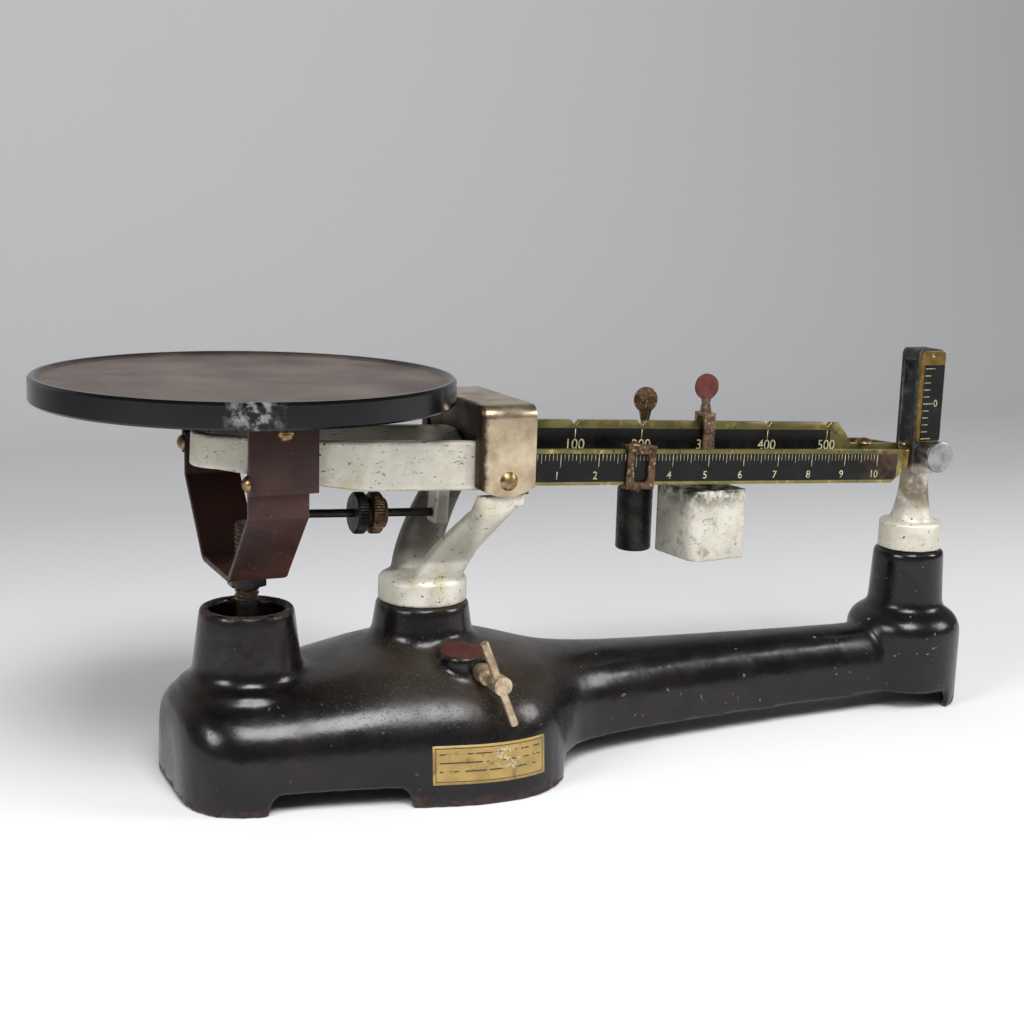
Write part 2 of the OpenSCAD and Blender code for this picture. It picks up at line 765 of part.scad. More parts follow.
block_cx = rest_x(block_x, block_bottom) + 1;
saddle_z = rest_z(block_x, notch_edge) + slide_clear + 0.3;
leg_y = beam_thick / 2 + scale_thick + 1.2;
leg_width = 5;
saddle_height = 3;

block_round = 6;

module large_poise() color([0.66, 0.65, 0.6]) at_post()
    translate([block_cx, block_y, block_bottom]) rotate([0, 0, block_twist])
        translate([-block_length / 2, -block_width / 2, 0])
            linear_extrude(height = block_height) difference() {
                square([block_length, block_width]);
                difference() {
                    translate([-1, -1]) square([block_round + 1, block_round + 1]);
                    translate([block_round, block_round]) circle(r = block_round, $fn = fine);
                }
            }

module large_poise_hanger() color([0.5, 0.36, 0.26]) at_post() {
    x = rest_x(block_x, notch_edge);
    for (y = [-leg_y - strip_thick, leg_y])
        span([x - leg_width / 2, y, block_bottom + block_height],
             [x + leg_width / 2, y + strip_thick, saddle_z + saddle_height]);
    span([x - leg_width / 2, -leg_y - strip_thick, saddle_z + saddle_height - strip_thick],
         [x + leg_width / 2, leg_y + strip_thick, saddle_z + saddle_height]);
    plate_y(-strip_thick / 2, strip_thick) {
        polygon([[x - 2.6, saddle_z + saddle_height], [x + 2.6, saddle_z + saddle_height],
                 [x + 1.6, saddle_z + saddle_height + 4], [x + 2.6, saddle_z + saddle_height + 8],
                 [x - 2.6, saddle_z + saddle_height + 8], [x - 1.6, saddle_z + saddle_height + 4]]);
        translate([x, saddle_z + saddle_height + 10.6]) circle(r = tab_radius, $fn = fine);
    }
    translate([x, -leg_y - strip_thick - 0.5, block_bottom + block_height])
        cylinder(h = 16, r = 1, $fn = 24);
}

/* rear poise on the rear beam */
drum_y = beam_spacing + 5.6;
drum_top = drum_bottom + drum_height;
hook_x = rest_x(drum_x, beam_top);
hook_top = rest_z(drum_x, beam_top) + slide_clear + 0.3;
tab_z = hook_top + 15;

module rear_poise() color([0.12, 0.12, 0.12]) at_post()
    translate([hook_x, drum_y, drum_bottom])
        rotate_extrude($fn = fine) polygon([
            [0, 0], [drum_radius - 0.8, 0], [drum_radius, 0.8], [drum_radius, drum_height - 0.8],
            [drum_radius - 0.8, drum_height], [0, drum_height]
        ]);

module rear_poise_hanger() color([0.45, 0.36, 0.27]) at_post() {
    leg = beam_thick / 2 + slide_clear + 0.4;
    span([hook_x - 2.2, beam_spacing + leg, drum_top],
         [hook_x + 2.2, beam_spacing + leg + strip_thick, hook_top + strip_thick]);
    span([hook_x - 2.2, beam_spacing - leg - strip_thick - scale_thick, hook_top],
         [hook_x + 2.2, beam_spacing + leg + strip_thick, hook_top + strip_thick]);
    span([hook_x - 2.2, beam_spacing - leg - strip_thick - scale_thick, hook_top - 5],
         [hook_x + 2.2, beam_spacing - leg - scale_thick, hook_top + strip_thick]);
    plate_y(beam_spacing - strip_thick / 2, strip_thick) {
        polygon([[hook_x - 2, hook_top], [hook_x + 2, hook_top],
                 [hook_x + 1.4, tab_z - 10], [hook_x + 3, tab_z - 3],
                 [hook_x - 3, tab_z - 3], [hook_x - 1.4, tab_z - 10]]);
        translate([hook_x, tab_z]) circle(r = tab_radius, $fn = fine);
    }
}

/* balance rod and nuts */
rod_left_x = -58;

module balance_rod() color([0.15, 0.13, 0.12]) on_beam()
    rod_x(rod_left_x, 0, balance_rod_z, lug_x + 6 - rod_left_x, balance_rod_radius);

module balance_nut(x) {
    bore = balance_rod_radius + shaft_clear;
    translate([x, 0, balance_rod_z]) rotate([0, 90, 0]) rotate_extrude($fn = fine) polygon([
        [bore, 0], [balance_nut_radius - 1, 0], [balance_nut_radius, 1],
        [balance_nut_radius, balance_nut_thick - 2], [balance_nut_radius - 1, balance_nut_thick - 1.4],
        [balance_nut_radius - 2.4, balance_nut_thick], [bore, balance_nut_thick]
    ]);
}

module balance_nut_outer() color([0.2, 0.17, 0.14]) on_beam() balance_nut(balance_nut_x - balance_nut_thick);

module balance_nut_inner() color([0.28, 0.23, 0.18]) on_beam() balance_nut(balance_nut_x + 0.3);

/* yoke and pan */
yoke_in = yoke_half - yoke_sheet;
yoke_top = knife_z + yoke_rise;
strap_lap = 8;
strap_shift = -1.2;
bend_drop = 8.6;
v_yoke = 6;

module at_knife() {
    translate([post_x + knife_x, 0, 0]) children();
}

module yoke_cheeks() color([0.2, 0.08, 0.07]) at_knife() difference() {
    union() {
        for (y = [-yoke_half, yoke_in])
            span([-cheek_width / 2, y, cheek_bottom], [cheek_width / 2, y + yoke_sheet, yoke_top]);
        span([-cheek_width / 2, -yoke_half, yoke_top - yoke_sheet],
             [cheek_width / 2, yoke_half, yoke_top]);
    }
    translate([0, 0, yoke_top - 10]) cylinder(h = 20, r = 3, $fn = fine);
}

// Half of the stirrup's profile in Y and Z: floor, bend, slanted strap and upright lap
strap_top = cheek_bottom + strap_lap;
lap_outer = yoke_in;
lap_inner = yoke_in - yoke_sheet;

module stirrup_half_profile() {
    polygon([
        [0, stirrup_bottom], [stirrup_half - 3, stirrup_bottom], [stirrup_half, stirrup_bottom + 1.2],
        [stirrup_half + 2.4, stirrup_bottom + 4], [lap_outer, cheek_bottom - bend_drop],
        [lap_outer, strap_top], [lap_inner, strap_top], [lap_inner, cheek_bottom - bend_drop + 0.4],
        [stirrup_half + 0.4, stirrup_bottom + 5], [stirrup_half - 1.6, stirrup_bottom + yoke_sheet + 0.8],
        [stirrup_half - 3.4, stirrup_bottom + yoke_sheet], [0, stirrup_bottom + yoke_sheet]
    ]);
}

module yoke_stirrup() color([0.25, 0.1, 0.08]) at_knife() difference() {
    for (turn = [0, 1]) mirror([0, turn, 0])
        rotate([90, 0, 90]) translate([0, 0, strap_shift - strap_width / 2])
            linear_extrude(height = strap_width) stirrup_half_profile();
    translate([0, 0, stirrup_bottom - 1])
        cylinder(h = 2 + yoke_sheet, r = rod_radius + shaft_clear, $fn = fine);
}

// Inverted V blocks that hang on the ends of the pan knife
hang_y0 = pan_knife_half - 9;

module yoke_bearings() color([0.3, 0.3, 0.32]) at_knife() for (side = [0, 180]) rotate([0, 0, side])
    plate_y(hang_y0, lap_inner - hang_y0) polygon([
        [-v_yoke - 2, knife_z - 3], [-v_yoke, knife_z - 3.4], [0, knife_z + shaft_clear],
        [v_yoke, knife_z - 3.4], [v_yoke + 2, knife_z - 3],
        [v_yoke + 2, yoke_top - yoke_sheet], [-v_yoke - 2, yoke_top - yoke_sheet]
    ]);

// One screw on each cheek's face near the top, and one on its edge beside the knife
yoke_screw_z = yoke_top - 3.4;
edge_screw_z = cheek_bottom + 4;
edge_screw_y = yoke_half - 1.6;

module yoke_screws() color([0.7, 0.58, 0.4]) at_knife() for (side = [-1, 1]) {
    translate([0.4, side * yoke_half, yoke_screw_z]) rotate([-side * 90, 0, 0]) dome_head(3.1, 2.2, 0.7);
    translate([-cheek_width / 2, side * edge_screw_y, edge_screw_z]) rotate([0, -90, 0])
        dome_head(3.1, 2.2, 0.7);
}

rod_bottom = link_pivot_z + knife_arm * sin(rest_tilt) - 5;
link_slot = link_thick + 0.6;

module yoke_rod() color([0.3, 0.24, 0.2]) at_knife() difference() {
    translate([0, 0, rod_bottom]) cylinder(h = rod_top - rod_bottom, r = rod_radius, $fn = fine);
    span([-10, -link_slot / 2, rod_bottom - 1], [10, link_slot / 2, rod_bottom + 12]);
    rod_y(0, -10, rod_bottom + 5, 20, link_pin_radius + nothing);
}

module yoke_lock_nut() color([0.22, 0.15, 0.13]) at_knife() difference() {
    translate([0, 0, stirrup_bottom - 6])
        rotate([0, 0, 30]) cylinder(h = 6, r = lock_nut_width / 2 / cos(30), $fn = 6);
    translate([0, 0, stirrup_bottom - 7]) cylinder(h = 8, r = rod_radius + nothing, $fn = fine);
}

seat_radius = 26;
seat_pin_radius = 5;

module pan_seat() color([0.1, 0.1, 0.1]) at_knife() {
    translate([0, 0, yoke_top]) cylinder(h = seat_thick, r = seat_radius, $fn = fine);
    translate([0, 0, yoke_top + seat_thick]) cylinder(h = 1.8, r = seat_pin_radius, $fn = fine);
    translate([0, 0, yoke_top - yoke_sheet]) cylinder(h = yoke_sheet, r = 2.95, $fn = fine);
}

plate_bottom = yoke_top + seat_thick;
plate_top = plate_bottom + pan_plate;
pan_top = plate_top + dish_depth;
skirt_bottom = pan_top - rim_height;
rim_width = 2.8;

module pan() color([0.05, 0.05, 0.05]) at_knife() rotate_extrude($fn = 160) difference() {
    polygon([
        [0, plate_bottom], [pan_radius - rim_width, plate_bottom],
        [pan_radius - rim_width + 0.6, skirt_bottom], [pan_radius - 0.8, skirt_bottom],
        [pan_radius, skirt_bottom + 0.8], [pan_radius, pan_top - 1], [pan_radius - 1, pan_top],
        [pan_radius - rim_width + 0.6, pan_top], [pan_radius - rim_width - 1, plate_top + 0.4],
        [pan_radius - rim_width - 4, plate_top], [0, plate_top]
    ]);
    translate([-1, plate_bottom - 1]) square([seat_pin_radius + 0.15 + 1, 3]);
}

/* check linkage in the base */
link_drop = knife_arm * sin(rest_tilt);

module check_link() color([0.3, 0.3, 0.3]) at_post()
    translate([pivot_x, 0, link_pivot_z]) rotate([0, rest_tilt, 0])
        plate_y(-link_thick / 2, link_thick) difference() {
            union() {
                translate([-knife_arm, -link_width / 2]) square([knife_arm, link_width]);
                for (x = [0, -knife_arm]) translate([x, 0]) circle(r = link_width / 2 + 0.5, $fn = fine);
            }
            circle(r = link_pin_radius + shaft_clear, $fn = fine);
            translate([-knife_arm, 0]) circle(r = link_pin_radius + 0.5, $fn = fine);
        }

module link_bracket() color([0.35, 0.35, 0.35]) at_post() difference() {
    span([pivot_x - bracket_half_x, -bracket_half_y, link_pivot_z - 6],
         [pivot_x + bracket_half_x, bracket_half_y, pad_bottom]);
    span([pivot_x - 20, -link_thick / 2 - 0.5, 0], [pivot_x + 20, link_thick / 2 + 0.5, link_pivot_z + 9]);
    rod_y(pivot_x, -20, link_pivot_z, 40, link_pin_radius);
}

module link_pivot_pin() color([0.5, 0.5, 0.5]) at_post()
    rod_y(pivot_x, -bracket_half_y - 1, link_pivot_z, 2 * bracket_half_y + 2, link_pin_radius);

module link_rod_pin() color([0.5, 0.5, 0.5]) at_knife()
    rod_y(0, -rod_radius - 1.5, rod_bottom + 5, 2 * rod_radius + 3, link_pin_radius);

/* index */
head_x0 = post_to_index - upright_width / 2;
head_x1 = head_x0 + upright_width;
head_out = slot_half + upright_thick;
neck_top = slot_floor;
head_low = neck_top - 3;
index_collar = 13.7;
collar_top = pedestal_height + 12.2;
waist_radius = 6.1;
waist_z = 102;
waist_curve = 58;
bridge_height = 5;

module index_column() color([0.4, 0.39, 0.36]) at_post() difference() {
    union() {
        translate([post_to_index, 0, 0]) rotate_extrude($fn = fine) {
            polygon([
                [0, pedestal_height - 30], [column_radius, pedestal_height - 30],
                [column_radius, pedestal_height], [index_collar, pedestal_height],
                [index_collar, collar_top - 0.8], [index_collar - 0.8, collar_top], [0, collar_top]
            ]);
            difference() {
                translate([0, collar_top - 1]) square([waist_radius + 4.2, neck_top - collar_top + 1]);
                translate([waist_radius + waist_curve, waist_z]) circle(r = waist_curve, $fn = 192);
            }
        }
        plate_y(-head_out, 2 * head_out) {
            round_rect(head_x0, head_low, head_x1, index_top, 2);
        }
    }
    span([head_x0 - 5, -slot_half, slot_floor], [head_x1 + 5, slot_half, index_top - bridge_height]);
    rod_y(knob_x, -head_out - 1, knob_z, upright_thick + 2, knob_shaft + shaft_clear);
}

plate_half = 6.5;
plate_x = (head_x0 + head_x1) / 2;
plate_z0 = 117.8;

module index_plate() color([0.6, 0.5, 0.25]) at_post()
    plate_y(-head_out - plate_thick, plate_thick)
        round_rect(plate_x - plate_half, plate_z0, plate_x + plate_half, index_top - 0.6, 2);

module index_face() color([0.03, 0.03, 0.03]) at_post()
    span([plate_x - plate_half + 2.2, -head_out - plate_thick - 0.2, plate_z0 + 0.4],
         [plate_x + plate_half - 0.5, -head_out - plate_thick, index_top - 6.6]);

module index_pins() color([0.7, 0.6, 0.4]) at_post()
    translate([plate_x, -head_out - plate_thick, index_top - 3.4]) rotate([90, 0, 0])
        dome_head(1, 0.5, 0.2);

knob_x = plate_x - 1.1;
knob_thick = 2;
knob_stand = 9.8;
knob_shaft = 3;

module lock_knob() color([0.7, 0.7, 0.7]) at_post() {
    rod_y(knob_x, -head_out - knob_stand - knob_thick, knob_z, knob_thick, knob_radius);
    rod_y(knob_x, -head_out - knob_stand, knob_z, knob_stand - 0.3, knob_shaft + 1.4);
    rod_y(knob_x, -head_out - 0.3, knob_z, upright_thick + 0.2, knob_shaft);
}

/* tommy screw */
tommy_hub_y = -57;
tommy_lean = 22;

module tommy_screw() color([0.75, 0.6, 0.5]) at_post() difference() {
    union() {
        rod_y(tommy_axis_x, tommy_face - 0.4, tommy_axis_z, tommy_depth, tommy_thread);
        rod_y(tommy_axis_x, tommy_face - 6, tommy_axis_z, 5.7, tommy_shoulder);
        rod_y(tommy_axis_x, tommy_hub_y, tommy_axis_z, tommy_face - 5 - tommy_hub_y, 2.4);
        rod_y(tommy_axis_x, tommy_hub_y - 3.6, tommy_axis_z, 7.2, 3.5);
    }
    translate([tommy_axis_x, tommy_hub_y, tommy_axis_z]) rotate([0, -tommy_lean, 0])
        cylinder(h = 40, r = tommy_radius, center = true, $fn = fine);
}

module tommy_bar() color([0.8, 0.66, 0.56]) at_post()
    translate([tommy_axis_x, tommy_hub_y, tommy_axis_z]) rotate([0, -tommy_lean, 0])
        cylinder(h = tommy_length, r = tommy_radius, center = true, $fn = fine);

base();
fork();
bearing_near();
bearing_far();
cover();
cover_screws();
beam_frame();
fulcrum_knife();
pan_knife();
middle_beam();
middle_scale();
front_beam();
front_scale();
rear_beam();
rear_scale();
pointer();
pointer_screws();
rider();
rider_screw();
large_poise();
large_poise_hanger();
rear_poise();
rear_poise_hanger();
balance_rod();
balance_nut_outer();
balance_nut_inner();
yoke_cheeks();
yoke_stirrup();
yoke_bearings();
yoke_screws();
yoke_rod();
yoke_lock_nut();
pan_seat();
pan();
check_link();
link_bracket();
link_pivot_pin();
link_rod_pin();
index_column();
index_plate();
index_face();
index_pins();
lock_knob();
tommy_screw();
tommy_bar();
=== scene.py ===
import json
import math

import bmesh
import bpy
from mathutils import Matrix, Vector
from mathutils.bvhtree import BVHTree

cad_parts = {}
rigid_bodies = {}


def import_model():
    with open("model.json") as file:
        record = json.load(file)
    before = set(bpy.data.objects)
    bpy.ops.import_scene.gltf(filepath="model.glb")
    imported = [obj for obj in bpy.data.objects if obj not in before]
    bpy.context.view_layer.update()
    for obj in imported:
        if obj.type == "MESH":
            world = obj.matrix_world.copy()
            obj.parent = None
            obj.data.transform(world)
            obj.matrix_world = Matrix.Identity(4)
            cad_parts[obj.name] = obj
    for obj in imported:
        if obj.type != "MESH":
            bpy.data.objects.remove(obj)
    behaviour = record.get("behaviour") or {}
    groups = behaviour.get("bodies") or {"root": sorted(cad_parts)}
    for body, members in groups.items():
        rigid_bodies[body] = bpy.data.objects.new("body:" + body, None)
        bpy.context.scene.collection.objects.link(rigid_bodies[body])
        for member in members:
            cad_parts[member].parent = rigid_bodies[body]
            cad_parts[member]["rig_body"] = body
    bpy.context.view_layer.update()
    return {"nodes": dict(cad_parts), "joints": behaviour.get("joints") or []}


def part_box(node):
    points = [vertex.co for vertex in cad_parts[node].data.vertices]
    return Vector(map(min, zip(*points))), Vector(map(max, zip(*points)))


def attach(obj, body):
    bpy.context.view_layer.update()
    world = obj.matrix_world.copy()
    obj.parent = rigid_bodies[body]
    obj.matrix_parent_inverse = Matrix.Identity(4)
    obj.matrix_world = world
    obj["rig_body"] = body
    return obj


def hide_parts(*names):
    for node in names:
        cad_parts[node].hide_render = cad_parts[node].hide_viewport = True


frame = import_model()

mm = 0.001


# Places that come from the frame

joints = {joint["name"]: joint for joint in frame["joints"]}
fulcrum = Vector(joints["beam_tilt"]["pos_m"])
panKnife = Vector(joints["yoke_level"]["pos_m"])
slideAxis = Vector(joints["rider_slide"]["axis"])
restTilt = math.atan2(-slideAxis.z, slideAxis.x)
postToFulcrum = 24  # millimetres from the middle post to the fulcrum
postX = fulcrum.x - postToFulcrum * mm
tilted = Matrix.Rotation(restTilt, 4, "Y")
onBeam = Matrix.Translation(fulcrum) @ tilted @ Matrix.Translation(-fulcrum)


# Camera

cameraView = {
    "place": (-232.98, -580.6, 227.91),  # millimetres from the middle post
    "yaw": 0.436,
    "pitch": 0.202,
    "roll": 0.029,
    "lens": 58.26,
    "sensor": 36,
    "nearest": 0.01,
}


def fromPost(place):
    return (postX + place[0] * mm, place[1] * mm, place[2] * mm)


def placeCamera(view):
    yaw, pitch, roll = view["yaw"], view["pitch"], view["roll"]
    ahead = Vector((math.sin(yaw) * math.cos(pitch), math.cos(yaw) * math.cos(pitch), -math.sin(pitch)))
    level = Vector((math.cos(yaw), -math.sin(yaw), 0))
    above = level.cross(ahead)
    right = level * math.cos(roll) + above * math.sin(roll)
    up = above * math.cos(roll) - level * math.sin(roll)
    data = bpy.data.cameras.new("camera")
    data.lens = view["lens"]
    data.sensor_width = view["sensor"]
    data.clip_start = view["nearest"]
    camera = bpy.data.objects.new("camera", data)
    turned = Matrix((right, up, -ahead)).transposed().to_4x4()
    camera.matrix_world = Matrix.Translation(fromPost(view["place"])) @ turned
    bpy.context.scene.collection.objects.link(camera)
    bpy.context.scene.camera = camera


placeCamera(cameraView)
print("camera placed")


# Material helpers

def srgb(code, alpha=1.0):
    parts = [int(code[i:i + 2], 16) / 255 for i in (1, 3, 5)]
    line = [c / 12.92 if c <= 0.04045 else ((c + 0.055) / 1.055) ** 2.4 for c in parts]
    return (*line, alpha)


def addNode(tree, kind, inputs, out=0, **settings):
    # inputs are values or other nodes' outputs, and out says which output comes back
    node = tree.nodes.new("ShaderNode" + kind)
    for key, value in settings.items():
        setattr(node, key, value)
    for key, value in inputs.items():
        if isinstance(value, bpy.types.NodeSocket):
            tree.links.new(value, node.inputs[key])
        else:
            node.inputs[key].default_value = value
    return node if out is None else node.outputs[out]


def span(value, low, high, toLow=0.0, toHigh=1.0):
    # inputs for a Map Range that takes low to toLow and high to toHigh
    return {"Value": value, "From Min": low, "From Max": high, "To Min": toLow, "To Max": toHigh}


def spanMm(value, marks, origin=0.0):
    # the same from 0 to 1, between two millimetre marks counted from origin
    return span(value, origin + marks[0] * mm, origin + marks[1] * mm)


def patches(tree, where, sizeMm, low, high, detail=5.0, shift=0.0):
    # cloudy mask from 0 to 1 whose blotches are about sizeMm across
    offset = (shift, shift * 0.7, -shift)
    moved = addNode(tree, "VectorMath", {0: where, 1: offset}, operation="ADD")
    noise = addNode(tree, "TexNoise",
                    {"Vector": moved, "Scale": 1000 / sizeMm, "Detail": detail, "Roughness": 0.62})
    return addNode(tree, "MapRange", span(noise, low, high), interpolation_type="SMOOTHSTEP")


def allOf(tree, *masks):
    # masks and shares multiplied together
    result = masks[0]
    for mask in masks[1:]:
        result = addNode(tree, "Math", {0: result, 1: mask}, operation="MULTIPLY")
    return result


def anyOf(tree, *masks):
    result = masks[0]
    for mask in masks[1:]:
        result = addNode(tree, "Math", {0: result, 1: mask}, operation="MAXIMUM")
    return result


def frayed(tree, where, value, sizeMm, depthMm, low=0.3, high=0.7):
    # a coordinate pushed to and fro, so that an edge set by it runs raggedly
    push = allOf(tree, patches(tree, where, sizeMm, low, high), depthMm * mm)
    return addNode(tree, "Math", {0: value, 1: push}, operation="ADD")


def grained(tree, where, sizeMm, depthMm, strength, detail=5.0):
    # fine unevenness of the surface, as a normal
    height = patches(tree, where, sizeMm, 0.2, 0.8, detail)
    return addNode(tree, "Bump", {"Height": height, "Distance": depthMm * mm, "Strength": strength})


def wornEdges(tree, low, high):
    # rubbed corners: pointiness is highest where the metal turns sharply outwards
    point = addNode(tree, "NewGeometry", {}, "Pointiness")
    return addNode(tree, "MapRange", span(point, low, high))


def facingUp(tree, low, high):
    normal = addNode(tree, "NewGeometry", {}, "Normal")
    height = addNode(tree, "SeparateXYZ", {0: normal}, "Z")
    return addNode(tree, "MapRange", span(height, low, high))


def finish(name, build):
    material = bpy.data.materials.new(name)
    material.use_nodes = True
    tree = material.node_tree
    tree.nodes.clear()
    where = addNode(tree, "TexCoord", {}, "Object")
    axes = addNode(tree, "SeparateXYZ", {0: where}, None).outputs
    shader = addNode(tree, "BsdfPrincipled", build(tree, where, axes))
    addNode(tree, "OutputMaterial", {"Surface": shader}, None)
    return material


# Finishes. Places are millimetres from the middle post, sizes are the width of a blotch in millimetres

japan = {
    "black": "#08080a", "brown": "#1a1310", "dust": "#6b5d4c", "rust": "#3d2a24", "deepRust": "#2c1a14",
    "bare": "#6a6460", "red": "#4a1710",
    "cloud": 26.0, "speck": 0.7, "chip": 3.4, "peel": 2.2, "wave": 14,
    "dustPlace": (8, -28, 45), "dustReach": (75, 18), "film": 0.16, "speckShare": 0.55,
    "tail": (40, 90), "foot": (1.8, 0.6), "footFray": -4,
    "mouth": (26, 22), "mouthTop": (67.7, 68.3), "mouthFray": 2.2,
    "redPlace": (6, -30, 51.6), "redEdge": (9.6, 8.8),
}


def japannedIron(tree, where, axes):
    # stoved black enamel on a sand casting: deep gloss, orange peel, dust in the hollows, chips, rusty feet
    clouds = patches(tree, where, japan["cloud"], 0.42, 0.7)
    tone = addNode(tree, "Mix", {0: clouds, 6: srgb(japan["black"]), 7: srgb(japan["brown"])}, 2,
                   data_type="RGBA")
    dustPlace = fromPost(japan["dustPlace"])
    away = addNode(tree, "VectorMath", {0: where, 1: dustPlace}, "Value", operation="DISTANCE")
    nearby = addNode(tree, "MapRange", spanMm(away, japan["dustReach"]))
    specks = patches(tree, where, japan["speck"], 0.58, 0.68, 5.0)
    dusty = allOf(tree, specks, nearby, facingUp(tree, 0.1, 0.8), japan["speckShare"])
    film = allOf(tree, nearby, facingUp(tree, 0.3, 1.0), japan["film"])
    tone = addNode(tree, "Mix", {0: film, 6: tone, 7: srgb(japan["dust"])}, 2, data_type="RGBA")
    tone = addNode(tree, "Mix", {0: dusty, 6: tone, 7: srgb(japan["dust"])}, 2, data_type="RGBA")
    # chips are thickest on the tail and the pedestal
    start, end = japan["tail"]
    onTail = addNode(tree, "MapRange", span(axes["X"], postX + start * mm, postX + end * mm, 0.25, 1))
    chips = allOf(tree, patches(tree, where, japan["chip"], 0.7, 0.73, 2.0, 0.3), onTail)
    tone = addNode(tree, "Mix", {0: chips, 6: tone, 7: srgb(japan["bare"])}, 2, data_type="RGBA")
    footLine = frayed(tree, where, axes["Z"], 9, japan["footFray"])
    atFeet = addNode(tree, "MapRange", spanMm(footLine, japan["foot"]))
    rusty = allOf(tree, atFeet, patches(tree, where, 7, 0.35, 0.6))
    # the open boss has lost its enamel round the mouth
    flat = addNode(tree, "CombineXYZ", {0: axes["X"], 1: axes["Y"]})
    away = addNode(tree, "VectorMath", {0: flat, 1: (panKnife.x, 0, 0)}, "Value", operation="DISTANCE")
    aroundMouth = addNode(tree, "MapRange", spanMm(away, japan["mouth"]))
    mouthLine = frayed(tree, where, axes["Z"], 6, japan["mouthFray"], 0.35, 0.65)
    onTop = addNode(tree, "MapRange", spanMm(mouthLine, japan["mouthTop"]))
    rusty = anyOf(tree, rusty, allOf(tree, aroundMouth, onTop))
    rustClouds = patches(tree, where, 2.5, 0.4, 0.6)
    rustTone = addNode(tree, "Mix", {0: rustClouds, 6: srgb(japan["rust"]), 7: srgb(japan["deepRust"])},
                       2, data_type="RGBA")
    tone = addNode(tree, "Mix", {0: rusty, 6: tone, 7: rustTone}, 2, data_type="RGBA")
    # red lead on the top of the small tapped boss
    redPlace = fromPost(japan["redPlace"])
    away = addNode(tree, "VectorMath", {0: where, 1: redPlace}, "Value", operation="DISTANCE")
    onCap = addNode(tree, "MapRange", spanMm(away, japan["redEdge"]))
    redTop = allOf(tree, onCap, facingUp(tree, 0.7, 0.9), patches(tree, where, 3, 0.35, 0.5))
    tone = addNode(tree, "Mix", {0: redTop, 6: tone, 7: srgb(japan["red"])}, 2, data_type="RGBA")
    matt = anyOf(tree, rusty, redTop, dusty, chips)
    gloss = addNode(tree, "MapRange", span(patches(tree, where, 18, 0.3, 0.8), 0, 1, 0.17, 0.34))
    gloss = addNode(tree, "Math", {0: gloss, 1: allOf(tree, matt, 0.5)}, operation="ADD")
    gloss = addNode(tree, "Math", {0: gloss, 1: film}, operation="ADD")
    normal = grained(tree, where, japan["peel"], 0.05, 0.35, 2.0)
    wave = patches(tree, where, japan["wave"], 0.2, 0.8, 2.0)
    normal = addNode(tree, "Bump",
                     {"Height": wave, "Distance": 0.5 * mm, "Strength": 0.2, "Normal": normal})
    enamel = addNode(tree, "Math", {0: 1.0, 1: matt}, operation="SUBTRACT")
    normal = addNode(tree, "Bump",
                     {"Height": enamel, "Distance": 0.12 * mm, "Strength": 0.7, "Normal": normal})
    return {"Base Color": tone, "Roughness": gloss, "Normal": normal, "Specular IOR Level": 0.4, "IOR": 1.5}


alloy = {
    "paint": "#c9c4b5", "pale": "#dedacd", "yellow": "#c4bc98", "pit": "#2a2722", "grime": "#5a5344",
    "soot": "#2e2c28", "cloud": 16, "stain": 11, "pitSize": 1.7, "mark": 3.2, "grimeSize": 22, "flake": 0.6,
    "farSide": (5, 8), "armEnd": (14, 10), "lugTop": (-14, -17), "lugLow": (-40, -38), "lugEnd": (14, 10),
}


